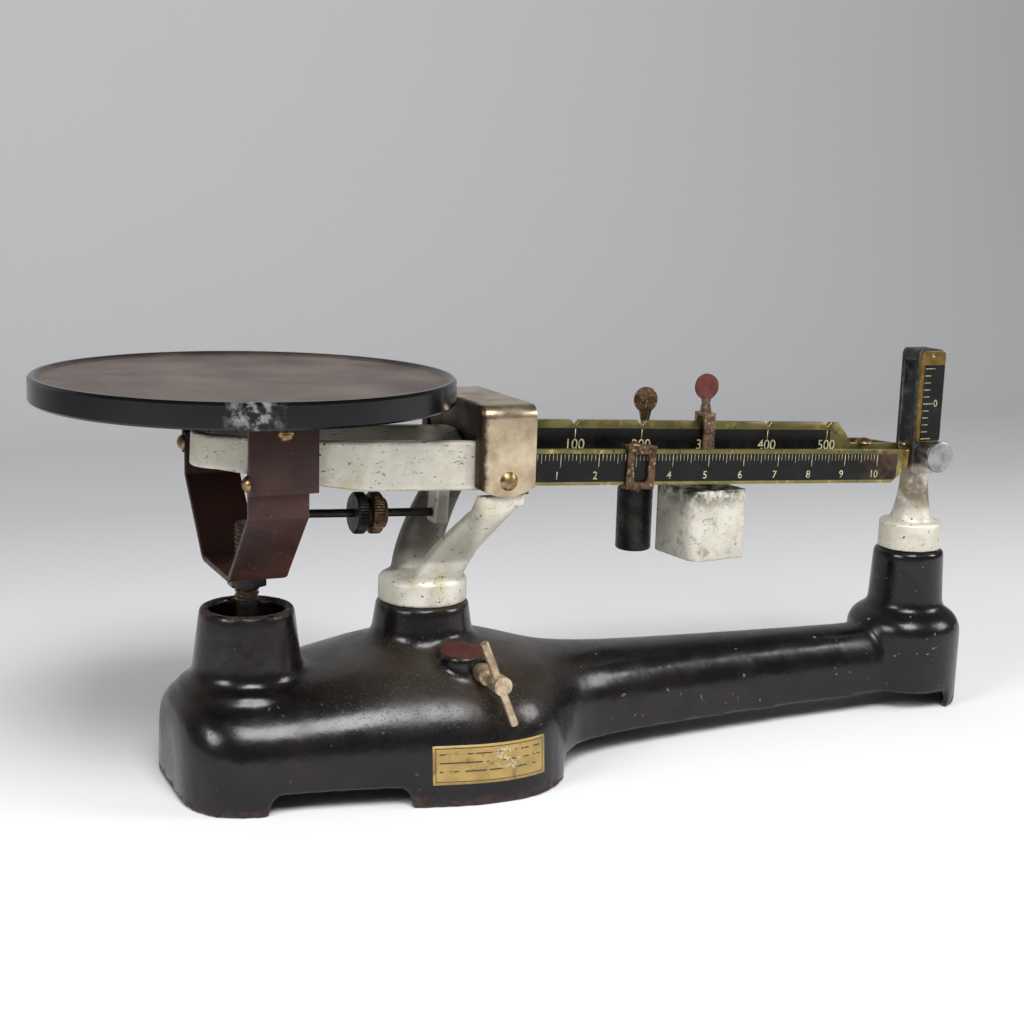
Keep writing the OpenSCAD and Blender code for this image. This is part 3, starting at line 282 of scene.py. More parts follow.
def aluminiumPaint(tree, where, axes):
    # brushed-on aluminium bronze paint, yellowed, pitted and greasy in the corners, with painted shade on the
    # fork's far arm and on the lug that holds the balance rod
    clouds = patches(tree, where, alloy["cloud"], 0.35, 0.65)
    tone = addNode(tree, "Mix", {0: clouds, 6: srgb(alloy["paint"]), 7: srgb(alloy["pale"])}, 2,
                   data_type="RGBA")
    stains = patches(tree, where, alloy["stain"], 0.5, 0.72, 5.0, 0.4)
    tone = addNode(tree, "Mix", {0: stains, 6: tone, 7: srgb(alloy["yellow"])}, 2, data_type="RGBA")
    pits = patches(tree, where, alloy["pitSize"], 0.66, 0.7, 3.0, 0.9)
    streaks = addNode(tree, "Mapping", {0: where, "Scale": (1, 1, 3.2), "Rotation": (0, 0.5, 0)})
    marks = allOf(tree, patches(tree, streaks, alloy["mark"], 0.64, 0.67, 4.0, 0.2), 0.75)
    dark = anyOf(tree, pits, marks)
    tone = addNode(tree, "Mix", {0: dark, 6: tone, 7: srgb(alloy["pit"])}, 2, data_type="RGBA")
    grime = allOf(tree, patches(tree, where, alloy["grimeSize"], 0.56, 0.8, 6.0, 1.7), 0.55)
    tone = addNode(tree, "Mix", {0: grime, 6: tone, 7: srgb(alloy["grime"])}, 2, data_type="RGBA")
    # painted shade: the fork's far arm and the lug that holds the balance rod are darkened where shade falls
    # on them
    farSide = addNode(tree, "MapRange", spanMm(axes["Y"], alloy["farSide"]))
    ahead = addNode(tree, "MapRange", spanMm(axes["X"], alloy["armEnd"], fulcrum.x))
    lugTop = addNode(tree, "MapRange", spanMm(axes["Z"], alloy["lugTop"], fulcrum.z))
    lugLow = addNode(tree, "MapRange", spanMm(axes["Z"], alloy["lugLow"], fulcrum.z))
    lugEnd = addNode(tree, "MapRange", spanMm(axes["X"], alloy["lugEnd"], postX))
    onLug = allOf(tree, lugTop, lugLow, lugEnd, 0.6)
    paintedShade = allOf(tree, anyOf(tree, allOf(tree, farSide, ahead), onLug), 0.72)
    tone = addNode(tree, "Mix", {0: paintedShade, 6: tone, 7: srgb(alloy["soot"])}, 2, data_type="RGBA")
    rough = addNode(tree, "MapRange", span(patches(tree, where, 8, 0.3, 0.7), 0, 1, 0.36, 0.52))
    normal = grained(tree, where, alloy["flake"], 0.03, 0.5, 2.0)
    whole = addNode(tree, "Math", {0: 1.0, 1: dark}, operation="SUBTRACT")
    normal = addNode(tree, "Bump",
                     {"Height": whole, "Distance": 0.1 * mm, "Strength": 0.6, "Normal": normal})
    return {"Base Color": tone, "Metallic": 0.3, "Roughness": rough, "Normal": normal}


index = {"dark": "#1c1c1d", "grey": "#4a4946", "rub": "#8a8372", "brown": "#6d5945",
         "headLine": (106, 110), "headFray": 2, "neck": (84, 92)}


def indexPaint(tree, where, axes):
    # the column keeps its aluminium paint, the slotted head above it is dark and rubbed
    paint = aluminiumPaint(tree, where, axes)
    headLine = frayed(tree, where, axes["Z"], 6, index["headFray"])
    head = addNode(tree, "MapRange", spanMm(headLine, index["headLine"]))
    clouds = patches(tree, where, 5, 0.45, 0.7)
    dark = addNode(tree, "Mix", {0: clouds, 6: srgb(index["dark"]), 7: srgb(index["grey"])}, 2,
                   data_type="RGBA")
    rubbed = allOf(tree, wornEdges(tree, 0.52, 0.6), patches(tree, where, 3, 0.4, 0.6))
    dark = addNode(tree, "Mix", {0: rubbed, 6: dark, 7: srgb(index["rub"])}, 2, data_type="RGBA")
    brown = allOf(tree, patches(tree, where, 9, 0.34, 0.56, 4.0, 2.2),
                  addNode(tree, "MapRange", spanMm(axes["Z"], index["neck"])), 0.8)
    tone = addNode(tree, "Mix", {0: brown, 6: paint["Base Color"], 7: srgb(index["brown"])}, 2,
                   data_type="RGBA")
    paint["Base Color"] = addNode(tree, "Mix", {0: head, 6: tone, 7: dark}, 2, data_type="RGBA")
    return paint


poise = {"soot": "#35332d", "shade": "#6f6c60", "sootDepth": (-9, -1), "sideShade": (3, 0.5), "sandPit": 2.4}


def poisePaint(tree, where, axes):
    # aluminium paint over a lead casting, smeared dark in patches, with a painted shadow along the top and
    # painted shade on the left side
    paint = aluminiumPaint(tree, where, axes)
    low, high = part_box("large_poise")
    # painted shadow: a dark band along the top, broken into patches
    paintedShade = allOf(tree, addNode(tree, "MapRange", spanMm(axes["Z"], poise["sootDepth"], high.z)),
                  patches(tree, where, 4, 0.35, 0.6, 5.0, 0.8))
    smear = allOf(tree, patches(tree, where, 6, 0.52, 0.7, 6.0, 3.1), 0.5)
    # painted shade: the paint is darkened towards the left side
    start, end = poise["sideShade"]
    shaded = addNode(tree, "MapRange", span(axes["X"], low.x + start * mm, low.x + end * mm, 0.1, 0.4))
    worn = addNode(tree, "Mix", {0: shaded, 6: paint["Base Color"], 7: srgb(poise["shade"])}, 2,
                   data_type="RGBA")
    # the painted shadow along the top and the real dark smears share one dark tone
    paint["Base Color"] = addNode(tree, "Mix",
                                  {0: anyOf(tree, paintedShade, smear), 6: worn, 7: srgb(poise["soot"])}, 2,
                                  data_type="RGBA")
    sand = patches(tree, where, poise["sandPit"], 0.2, 0.8, 6.0)
    paint["Normal"] = addNode(tree, "Bump",
                              {"Height": sand, "Distance": 0.35 * mm, "Strength": 0.6,
                               "Normal": paint["Normal"]})
    return paint


nickel = {"bright": "#cbbb9f", "warm": "#a08c72", "brown": "#3d3026", "brush": 1.05, "cloud": 14,
          "edge": (2.4, 0.4), "edgeFray": -1.5}


def satinNickel(tree, where, axes):
    # nickel plate gone warm and cloudy, with painted shade in dark brown on the side that faces the pan
    drawn = addNode(tree, "Mapping", {0: where, "Scale": (1, 1, 0.08)})
    brush = patches(tree, drawn, nickel["brush"], 0.2, 0.8, 3.0)
    clouds = patches(tree, where, nickel["cloud"], 0.35, 0.7)
    tone = addNode(tree, "Mix", {0: clouds, 6: srgb(nickel["bright"]), 7: srgb(nickel["warm"])}, 2,
                   data_type="RGBA")
    # painted shade: the left face, towards the pan, is painted dark brown with a ragged edge
    edge = frayed(tree, where, axes["X"], 5, nickel["edgeFray"])
    shadedLeftFace = addNode(tree, "MapRange", spanMm(edge, nickel["edge"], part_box("cover")[0].x))
    tone = addNode(tree, "Mix", {0: shadedLeftFace, 6: tone, 7: srgb(nickel["brown"])}, 2, data_type="RGBA")
    rough = addNode(tree, "MapRange", span(patches(tree, where, 9, 0.3, 0.7), 0, 1, 0.24, 0.42))
    rough = addNode(tree, "Math", {0: rough, 1: allOf(tree, shadedLeftFace, 0.15)}, operation="ADD")
    normal = addNode(tree, "Bump", {"Height": brush, "Distance": 0.02 * mm, "Strength": 0.35})
    return {"Base Color": tone, "Metallic": 1.0, "Roughness": rough, "Normal": normal}


brass = {"lacquer": "#8d8154", "green": "#747248", "bright": "#b9a868", "stain": "#4a3f22", "rolled": 0.7}


def lacqueredBrass(tree, where, axes):
    # rolled brass strip under old lacquer: greenish, with brown stains
    clouds = patches(tree, where, 12, 0.35, 0.65)
    tone = addNode(tree, "Mix", {0: clouds, 6: srgb(brass["lacquer"]), 7: srgb(brass["green"])}, 2,
                   data_type="RGBA")
    tone = addNode(tree, "Mix",
                   {0: patches(tree, where, 5, 0.55, 0.72, 5.0, 0.6), 6: tone, 7: srgb(brass["bright"])},
                   2, data_type="RGBA")
    spots = patches(tree, where, 4, 0.6, 0.75, 6.0, 1.4)
    tone = addNode(tree, "Mix", {0: spots, 6: tone, 7: srgb(brass["stain"])}, 2, data_type="RGBA")
    lines = addNode(tree, "Mapping", {0: where, "Scale": (0.06, 1, 1)})
    rough = addNode(tree, "MapRange", span(patches(tree, where, 6, 0.3, 0.7), 0, 1, 0.26, 0.45))
    normal = grained(tree, lines, brass["rolled"], 0.02, 0.4, 3.0)
    return {"Base Color": tone, "Metallic": 1.0, "Roughness": rough, "Normal": normal}


golden = {"yellow": "#927742", "deep": "#6f5a34", "bright": "#b59c66"}


def goldenBrass(tree, where, axes):
    # stamped brass kept yellow under thicker lacquer
    clouds = patches(tree, where, 7, 0.35, 0.65)
    tone = addNode(tree, "Mix", {0: clouds, 6: srgb(golden["yellow"]), 7: srgb(golden["deep"])}, 2,
                   data_type="RGBA")
    spots = patches(tree, where, 2.2, 0.58, 0.72, 4.0, 0.6)
    tone = addNode(tree, "Mix", {0: spots, 6: tone, 7: srgb(golden["bright"])}, 2, data_type="RGBA")
    rough = addNode(tree, "MapRange", span(patches(tree, where, 5, 0.3, 0.7), 0, 1, 0.28, 0.45))
    normal = grained(tree, where, 1.1, 0.02, 0.4)
    return {"Base Color": tone, "Metallic": 1.0, "Roughness": rough, "Normal": normal}


handledBrass = {"brown": "#6b5440", "dark": "#3c2c20", "pale": "#a08a66"}


def brownBrass(tree, where, axes):
    # brass gone brown with handling, mottled by corrosion
    clouds = patches(tree, where, 4, 0.4, 0.65)
    tone = addNode(tree, "Mix",
                   {0: clouds, 6: srgb(handledBrass["brown"]), 7: srgb(handledBrass["dark"])}, 2,
                   data_type="RGBA")
    spots = patches(tree, where, 1.2, 0.55, 0.65, 3.0, 0.7)
    tone = addNode(tree, "Mix", {0: spots, 6: tone, 7: srgb(handledBrass["pale"])}, 2, data_type="RGBA")
    rough = addNode(tree, "MapRange", span(patches(tree, where, 2, 0.3, 0.7), 0, 1, 0.35, 0.6))
    normal = grained(tree, where, 0.9, 0.06, 0.5)
    return {"Base Color": tone, "Metallic": 0.85, "Roughness": rough, "Normal": normal}


tab = {"red": "#66332b", "dark": "#48241f", "edge": (-11.4, -10)}


def hangerBrass(tree, where, axes):
    # the large poise's strip: brown brass with brick-red lacquer left on its round tab
    strip = brownBrass(tree, where, axes)
    clouds = patches(tree, where, 3, 0.35, 0.7)
    red = addNode(tree, "Mix", {0: clouds, 6: srgb(tab["red"]), 7: srgb(tab["dark"])}, 2, data_type="RGBA")
    onTab = addNode(tree, "MapRange", spanMm(axes["Z"], tab["edge"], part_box("large_poise_hanger")[1].z))
    strip["Base Color"] = addNode(tree, "Mix", {0: onTab, 6: strip["Base Color"], 7: red}, 2,
                                  data_type="RGBA")
    strip["Metallic"] = 0.4
    return strip


scaleFill = {"black": "#060706", "grey": "#131411", "scratch": "#5a5a4a", "thumbed": "#46301f",
             "thumbEnd": (-22, -4), "beamEnd": (4, 3)}


def scaleBlack(tree, where, axes):
    # black wax fill in the etched face of a scale, scratched, and thumbed brown at the beam's end
    clouds = patches(tree, where, 9, 0.4, 0.7)
    tone = addNode(tree, "Mix", {0: clouds, 6: srgb(scaleFill["black"]), 7: srgb(scaleFill["grey"])}, 2,
                   data_type="RGBA")
    slant = addNode(tree, "Mapping", {0: where, "Scale": (1, 1, 9), "Rotation": (0, 0.7, 0)})
    scratch = allOf(tree, patches(tree, slant, 3.0, 0.66, 0.7, 4.0), 0.4)
    tone = addNode(tree, "Mix", {0: scratch, 6: tone, 7: srgb(scaleFill["scratch"])}, 2, data_type="RGBA")
    rough = addNode(tree, "MapRange", span(patches(tree, where, 5, 0.3, 0.7), 0, 1, 0.28, 0.5))
    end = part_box("front_scale")[1].x
    thumbEnd = addNode(tree, "MapRange", spanMm(axes["X"], scaleFill["thumbEnd"], end))
    beamEnd = addNode(tree, "MapRange", spanMm(axes["X"], scaleFill["beamEnd"], end))
    handled = allOf(tree, thumbEnd, beamEnd, patches(tree, where, 5, 0.36, 0.6, 5.0, 2.4))
    tone = addNode(tree, "Mix", {0: handled, 6: tone, 7: srgb(scaleFill["thumbed"])}, 2, data_type="RGBA")
    normal = grained(tree, where, 1.1, 0.03, 0.4)
    return {"Base Color": tone, "Roughness": rough, "Normal": normal, "Specular IOR Level": 0.25}


cream = {"full": "#c6bd96", "thin": "#7f795c"}


def creamFill(tree, where, axes):
    # marks filled with cream enamel, thinner in places
    clouds = patches(tree, where, 2.2, 0.35, 0.7)
    tone = addNode(tree, "Mix", {0: clouds, 6: srgb(cream["full"]), 7: srgb(cream["thin"])}, 2,
                   data_type="RGBA")
    return {"Base Color": tone, "Roughness": 0.55, "Normal": grained(tree, where, 0.5, 0.01, 0.3)}


oxide = {"paint": "#4c2c25", "dark": "#2b1a17", "rub": "#6a5145", "inside": "#1a1110",
         "sootHeight": (-6, 10), "farSide": (2, 6)}


def redOxide(tree, where, axes):
    # brush-painted red oxide on sheet steel, specked where rubbed, with a painted shadow towards the top
    # under the pan and painted shade on the far strap
    clouds = patches(tree, where, 30, 0.3, 0.75, 2.0)
    tone = addNode(tree, "Mix", {0: clouds, 6: srgb(oxide["paint"]), 7: srgb(oxide["dark"])}, 2,
                   data_type="RGBA")
    spots = patches(tree, where, 1.1, 0.64, 0.7, 3.0, 0.8)
    tone = addNode(tree, "Mix", {0: spots, 6: tone, 7: srgb(oxide["rub"])}, 2, data_type="RGBA")
    # painted shadow: the paint is darker towards the top, under the pan
    soot = allOf(tree, addNode(tree, "MapRange", spanMm(axes["Z"], oxide["sootHeight"], panKnife.z)), 0.6)
    tone = addNode(tree, "Mix", {0: soot, 6: tone, 7: srgb(oxide["dark"])}, 2, data_type="RGBA")
    # painted shade: the far strap, inside the yoke, is darkened
    inside = allOf(tree, addNode(tree, "MapRange", spanMm(axes["Y"], oxide["farSide"])), 0.55)
    tone = addNode(tree, "Mix", {0: inside, 6: tone, 7: srgb(oxide["inside"])}, 2, data_type="RGBA")
    rough = addNode(tree, "MapRange", span(patches(tree, where, 6, 0.3, 0.7), 0, 1, 0.34, 0.55))
    normal = grained(tree, where, 2.6, 0.05, 0.45)
    return {"Base Color": tone, "Roughness": rough, "Normal": normal, "Specular IOR Level": 0.3}


moulding = {"black": "#050506", "dust": "#6e625a", "lint": "#7d7468", "scuff": "#7d8080",
            "rim": (74.6, 71.5), "cloud": 34, "scuffPlace": (-18, -74, 150), "scuffEdge": (11, 4)}


def mouldedBlack(tree, where, axes):
    # black moulding: polished rim, a top dulled brown by dust, one pale scuff on the front of the rim
    flat = addNode(tree, "CombineXYZ", {0: axes["X"], 1: axes["Y"]})
    radius = addNode(tree, "VectorMath", {0: flat, 1: (panKnife.x, 0, 0)}, "Value", operation="DISTANCE")
    inside = allOf(tree, addNode(tree, "MapRange", spanMm(radius, moulding["rim"])),
                   facingUp(tree, 0.5, 0.8))
    cloud = patches(tree, where, moulding["cloud"], 0.3, 0.7, 6.0)
    dusty = allOf(tree, inside, addNode(tree, "MapRange", span(cloud, 0, 1, 0.35, 0.95)))
    tone = addNode(tree, "Mix", {0: dusty, 6: srgb(moulding["black"]), 7: srgb(moulding["dust"])}, 2,
                   data_type="RGBA")
    lint = allOf(tree, patches(tree, where, 1.6, 0.66, 0.7, 2.0, 0.6), inside, 0.5)
    tone = addNode(tree, "Mix", {0: lint, 6: tone, 7: srgb(moulding["lint"])}, 2, data_type="RGBA")
    x, y, z = moulding["scuffPlace"]
    away = addNode(tree, "VectorMath", {0: where, 1: (panKnife.x + x * mm, y * mm, z * mm)}, "Value",
                   operation="DISTANCE")
    scuff = allOf(tree, addNode(tree, "MapRange", spanMm(away, moulding["scuffEdge"])),
                  patches(tree, where, 3, 0.44, 0.66, 7.0, 1.1))
    tone = addNode(tree, "Mix", {0: scuff, 6: tone, 7: srgb(moulding["scuff"])}, 2, data_type="RGBA")
    rough = addNode(tree, "MapRange", span(cloud, 0, 1, 0.12, 0.2))
    rough = addNode(tree, "Math", {0: rough, 1: allOf(tree, inside, 0.33)}, operation="ADD")
    rough = addNode(tree, "Math", {0: rough, 1: allOf(tree, scuff, 0.4)}, operation="ADD")
    normal = grained(tree, where, 1.4, 0.03, 0.35, 4.0)
    return {"Base Color": tone, "Roughness": rough, "Normal": normal, "IOR": 1.52, "Specular IOR Level": 0.26}


blackened = {"oiled": "#262523", "worn": "#3b3835", "rust": "#575049"}


def darkSteel(tree, where, axes):
    # turned steel, oil-blackened and lightly rusted
    clouds = patches(tree, where, 7, 0.4, 0.7)
    tone = addNode(tree, "Mix", {0: clouds, 6: srgb(blackened["oiled"]), 7: srgb(blackened["worn"])}, 2,
                   data_type="RGBA")
    spots = patches(tree, where, 1.6, 0.62, 0.72, 4.0, 0.9)
    tone = addNode(tree, "Mix", {0: spots, 6: tone, 7: srgb(blackened["rust"])}, 2, data_type="RGBA")
    rough = addNode(tree, "MapRange", span(patches(tree, where, 3, 0.3, 0.7), 0, 1, 0.32, 0.55))
    normal = grained(tree, where, 1, 0.03, 0.4)
    return {"Base Color": tone, "Metallic": 0.8, "Roughness": rough, "Normal": normal}


ground = {"steel": "#55524d", "dull": "#2f2c29"}


def bearingSteel(tree, where, axes):
    # hardened and ground steel
    clouds = patches(tree, where, 4, 0.4, 0.7)
    tone = addNode(tree, "Mix", {0: clouds, 6: srgb(ground["steel"]), 7: srgb(ground["dull"])}, 2,
                   data_type="RGBA")
    normal = grained(tree, addNode(tree, "Mapping", {0: where, "Scale": (1, 0.1, 1)}), 0.6, 0.02, 0.4)
    return {"Base Color": tone, "Metallic": 1.0, "Roughness": 0.38, "Normal": normal}


domed = {"crown": "#a68d66", "slot": "#6d563c"}


def screwBrass(tree, where, axes):
    # domed brass heads, dull in the slot and bright on the crown
    clouds = patches(tree, where, 2.5, 0.4, 0.65)
    tone = addNode(tree, "Mix", {0: clouds, 6: srgb(domed["crown"]), 7: srgb(domed["slot"])}, 2,
                   data_type="RGBA")
    rough = addNode(tree, "MapRange", span(patches(tree, where, 1.5, 0.3, 0.7), 0, 1, 0.25, 0.45))
    normal = grained(tree, where, 0.8, 0.02, 0.4)
    return {"Base Color": tone, "Metallic": 1.0, "Roughness": rough, "Normal": normal}


knobFace = {"bright": "#a9a9aa", "dull": "#858585", "rings": 700.0}


def turnedAluminium(tree, where, axes):
    # faced on a lathe: fine rings round the knob's axis
    low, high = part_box("lock_knob")
    centre = (low + high) / 2
    across = addNode(tree, "VectorMath", {0: where, 1: (centre.x, 0, centre.z)}, operation="SUBTRACT")
    flat = addNode(tree, "VectorMath", {0: across, 1: (1, 0, 1)}, operation="MULTIPLY")
    rings = addNode(tree, "TexWave",
                    {"Vector": flat, "Scale": knobFace["rings"], "Distortion": 0.4, "Detail": 2.0},
                    wave_type="RINGS", rings_direction="SPHERICAL")
    clouds = patches(tree, where, 4, 0.4, 0.7)
    tone = addNode(tree, "Mix", {0: clouds, 6: srgb(knobFace["bright"]), 7: srgb(knobFace["dull"])}, 2,
                   data_type="RGBA")
    return {"Base Color": tone, "Metallic": 1.0, "Roughness": 0.33,
            "Normal": addNode(tree, "Bump", {"Height": rings, "Distance": 0.015 * mm, "Strength": 0.4})}


wornPlate = {"pale": "#c9b79c", "pink": "#a08a6e"}


def wornNickelBrass(tree, where, axes):
    # nickel worn through to pale brass
    clouds = patches(tree, where, 4, 0.4, 0.65)
    tone = addNode(tree, "Mix", {0: clouds, 6: srgb(wornPlate["pale"]), 7: srgb(wornPlate["pink"])}, 2,
                   data_type="RGBA")
    rough = addNode(tree, "MapRange", span(patches(tree, where, 2, 0.3, 0.7), 0, 1, 0.3, 0.5))
    normal = grained(tree, where, 1.2, 0.03, 0.4)
    return {"Base Color": tone, "Metallic": 0.9, "Roughness": rough, "Normal": normal}


label = {
    "left": -15.5, "right": 29, "low": 8.6, "high": 23.2, "lift": 0.12, "thick": 0.06,
    "gold": "#a88c50", "deep": "#8c7642", "ink": "#2b2113", "paper": "#c3bba8", "brown": "#5a3d1c",
    "ruleInset": 1.1, "ruleHalf": 0.16, "lineInset": (2.4, 2.6), "lineCount": 9.0,
    "tearPlace": (13, -57, 18), "tearEdge": (6, 4),
}


def fromNearestEnd(tree, share, length):
    rest = addNode(tree, "Math", {0: 1.0, 1: share}, operation="SUBTRACT")
    nearest = addNode(tree, "Math", {0: share, 1: rest}, operation="MINIMUM")
    return allOf(tree, nearest, length)


def goldLabel(tree, where, axes):
    # water-slide label printed gold: a ruled border, plain ruled lines, brown stains and a torn place
    clouds = patches(tree, where, 9, 0.35, 0.7)
    gold = addNode(tree, "Mix", {0: clouds, 6: srgb(label["gold"]), 7: srgb(label["deep"])}, 2,
                   data_type="RGBA")
    across = addNode(tree, "MapRange",
                     span(axes["X"], postX + label["left"] * mm, postX + label["right"] * mm))
    up = addNode(tree, "MapRange", span(axes["Z"], label["low"] * mm, label["high"] * mm))
    fromEnds = fromNearestEnd(tree, across, label["right"] - label["left"])
    fromEdges = fromNearestEnd(tree, up, label["high"] - label["low"])
    rim = addNode(tree, "Math", {0: fromEnds, 1: fromEdges}, operation="MINIMUM")
    rule = addNode(tree, "Math", {0: rim, 1: label["ruleInset"], 2: label["ruleHalf"]},
                   operation="COMPARE")
    waves = addNode(tree, "Math", {0: allOf(tree, up, label["lineCount"]), 1: 1.0}, operation="PINGPONG")
    inner = addNode(tree, "MapRange", span(rim, *label["lineInset"]))
    crests = addNode(tree, "Math", {0: waves, 1: 1.0, 2: label["ruleHalf"]}, operation="COMPARE")
    lines = allOf(tree, crests, inner, patches(tree, where, 4, 0.46, 0.5, 2.0, 0.5))
    tone = addNode(tree, "Mix", {0: anyOf(tree, rule, lines), 6: gold, 7: srgb(label["ink"])}, 2,
                   data_type="RGBA")
    slit = addNode(tree, "Math", {0: patches(tree, where, 5, 0.3, 0.7, 4.0), 1: 0.5, 2: 0.06},
                   operation="COMPARE")
    tearPlace = fromPost(label["tearPlace"])
    away = addNode(tree, "VectorMath", {0: where, 1: tearPlace}, "Value", operation="DISTANCE")
    nearTear = addNode(tree, "MapRange", spanMm(away, label["tearEdge"]))
    tone = addNode(tree, "Mix", {0: allOf(tree, nearTear, slit), 6: tone, 7: srgb(label["paper"])}, 2,
                   data_type="RGBA")
    browned = allOf(tree, patches(tree, where, 5, 0.56, 0.7, 5.0, 0.8), 0.7)
    tone = addNode(tree, "Mix", {0: browned, 6: tone, 7: srgb(label["brown"])}, 2, data_type="RGBA")
    return {"Base Color": tone, "Roughness": 0.38,
            "Normal": addNode(tree, "Bump", {"Height": browned, "Distance": 0.05 * mm, "Strength": 0.4})}


finishBuilders = {
    "japanned iron": japannedIron,
    "aluminium paint": aluminiumPaint,
    "index paint": indexPaint,
    "poise paint": poisePaint,
    "satin nickel": satinNickel,
    "lacquered brass": lacqueredBrass,
    "golden brass": goldenBrass,
    "brown brass": brownBrass,
    "hanger brass": hangerBrass,
    "scale black": scaleBlack,
    "cream fill": creamFill,
    "red oxide paint": redOxide,
    "moulded black": mouldedBlack,
    "dark steel": darkSteel,
    "bearing steel": bearingSteel,
    "screw brass": screwBrass,
    "turned aluminium": turnedAluminium,
    "worn nickel brass": wornNickelBrass,
    "gold label": goldLabel,
}
finishes = {name: finish(name, build) for name, build in finishBuilders.items()}
print("finishes made", len(finishes))

finishUse = {
    "japanned iron": "base",
    "aluminium paint": "fork beam_frame",
    "index paint": "index_column",
    "poise paint": "large_poise",
    "satin nickel": "cover",
    "lacquered brass": "middle_beam front_beam rear_beam",
    "golden brass": "pointer index_plate",
    "brown brass": "rider rider_screw rear_poise_hanger balance_nut_inner",
    "hanger brass": "large_poise_hanger",
    "scale black": "middle_scale front_scale rear_scale index_face",
    "red oxide paint": "yoke_cheeks yoke_stirrup",
    "moulded black": "pan",
    "dark steel": "yoke_rod yoke_lock_nut rear_poise balance_rod balance_nut_outer pan_seat check_link "
                  "link_bracket",
    "bearing steel": "bearing_near bearing_far fulcrum_knife pan_knife yoke_bearings link_pivot_pin "
                     "link_rod_pin",
    "screw brass": "cover_screws pointer_screws yoke_screws index_pins",
    "turned aluminium": "lock_knob",
    "worn nickel brass": "tommy_screw tommy_bar",
}
nodeFinish = {nodeName: finishName for finishName, users in finishUse.items() for nodeName in users.split()}

for nodeName, node in frame["nodes"].items():
    node.data.materials.clear()
    node.data.materials.append(finishes[nodeFinish[nodeName]])


# Shape helpers

def coat(mesh, finishName):
    for polygon in mesh.polygons:
        polygon.use_smooth = True
    mesh.materials.clear()
    mesh.materials.append(finishes[finishName])


def addPiece(name, mesh, body, finishName):
    coat(mesh, finishName)
    piece = bpy.data.objects.new(name, mesh)
    bpy.context.scene.collection.objects.link(piece)
    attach(piece, body)
    return piece


def bodyOf(nodeName):
    return frame["nodes"][nodeName]["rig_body"]


mergeReach = 0.002


def mergedCopy(nodeName):
    copy = bmesh.new()
    copy.from_mesh(frame["nodes"][nodeName].data)
    bmesh.ops.remove_doubles(copy, verts=copy.verts, dist=mergeReach * mm)
    return copy


def toMesh(form, name):
    mesh = bpy.data.meshes.new(name)
    form.to_mesh(mesh)
    form.free()
    return mesh


def baked(piece):
    # the piece's modifiers become its mesh
    bpy.context.view_layer.update()
    shown = piece.evaluated_get(bpy.context.evaluated_depsgraph_get())
    mesh = bpy.data.meshes.new_from_object(shown)
    piece.modifiers.clear()
    piece.data = mesh
    return mesh


# Castings: the CAD form melted a little, as sand castings are

castings = {
    "base": {"name": "castBase", "voxel": 1.35, "passes": 14},
    "fork": {"name": "castFork", "voxel": 0.55, "passes": 10},
    "beam_frame": {"name": "castBeamFrame", "voxel": 0.7, "passes": 3},
    "index_column": {"name": "castIndexColumn", "voxel": 0.55, "passes": 4},
    "large_poise": {"name": "castPoise", "voxel": 0.5, "passes": 6},
}


def melt(nodeName, shape):
    low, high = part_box(nodeName)
    mesh = toMesh(mergedCopy(nodeName), shape["name"])
    piece = addPiece(shape["name"], mesh, bodyOf(nodeName), nodeFinish[nodeName])
    remesh = piece.modifiers.new("remesh", "REMESH")
    remesh.mode = "VOXEL"
    remesh.voxel_size = shape["voxel"] * mm
    remesh.use_smooth_shade = True
    smooth = piece.modifiers.new("smooth", "SMOOTH")
    smooth.factor = 0.5
    smooth.iterations = shape["passes"]
    mesh = baked(piece)
    for vertex in mesh.vertices:
        for axis in range(3):
            vertex.co[axis] = min(max(vertex.co[axis], low[axis]), high[axis])
    coat(mesh, nodeFinish[nodeName])
    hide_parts(nodeName)
    print(shape["name"], len(mesh.polygons), "faces")
    return piece


cast = {nodeName: melt(nodeName, shape) for nodeName, shape in castings.items()}


# Sheet, bar and turned pieces: the CAD form with its edges broken

brokenEdges = {
    "cover": 0.35, "yoke_cheeks": 0.3, "yoke_stirrup": 0.4, "middle_beam": 0.15, "front_beam": 0.15,
    "rear_beam": 0.15, "pointer": 0.4, "index_plate": 0.15, "rider": 0.18, "large_poise_hanger": 0.2,
    "rear_poise_hanger": 0.2, "rear_poise": 0.3, "yoke_lock_nut": 0.35, "lock_knob": 0.35,
    "tommy_screw": 0.3, "tommy_bar": 0.4, "check_link": 0.2, "link_bracket": 0.3, "pan_seat": 0.3,
    "bearing_near": 0.2, "bearing_far": 0.2, "yoke_bearings": 0.2,
}


def breakEdges(nodeName, width):
    form = mergedCopy(nodeName)
    bmesh.ops.dissolve_limit(form, angle_limit=math.radians(0.6), verts=form.verts, edges=form.edges)
    words = nodeName.split("_")
    name = words[0] + "".join(word.capitalize() for word in words[1:]) + "Finished"
    piece = addPiece(name, toMesh(form, name), bodyOf(nodeName), nodeFinish[nodeName])
    bevel = piece.modifiers.new("broken edges", "BEVEL")
    bevel.width = width * mm
    bevel.segments = 2
    bevel.limit_method = "ANGLE"
    bevel.angle_limit = math.radians(35)
    bevel.harden_normals = False
    mesh = baked(piece)
    mesh.materials.clear()
    mesh.materials.append(finishes[nodeFinish[nodeName]])
    mesh.set_sharp_from_angle(angle=math.radians(28))
    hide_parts(nodeName)


for nodeName, width in brokenEdges.items():
    breakEdges(nodeName, width)
print("edges broken on", len(brokenEdges), "pieces")


# Scale marks: engraved lines and plain numerals

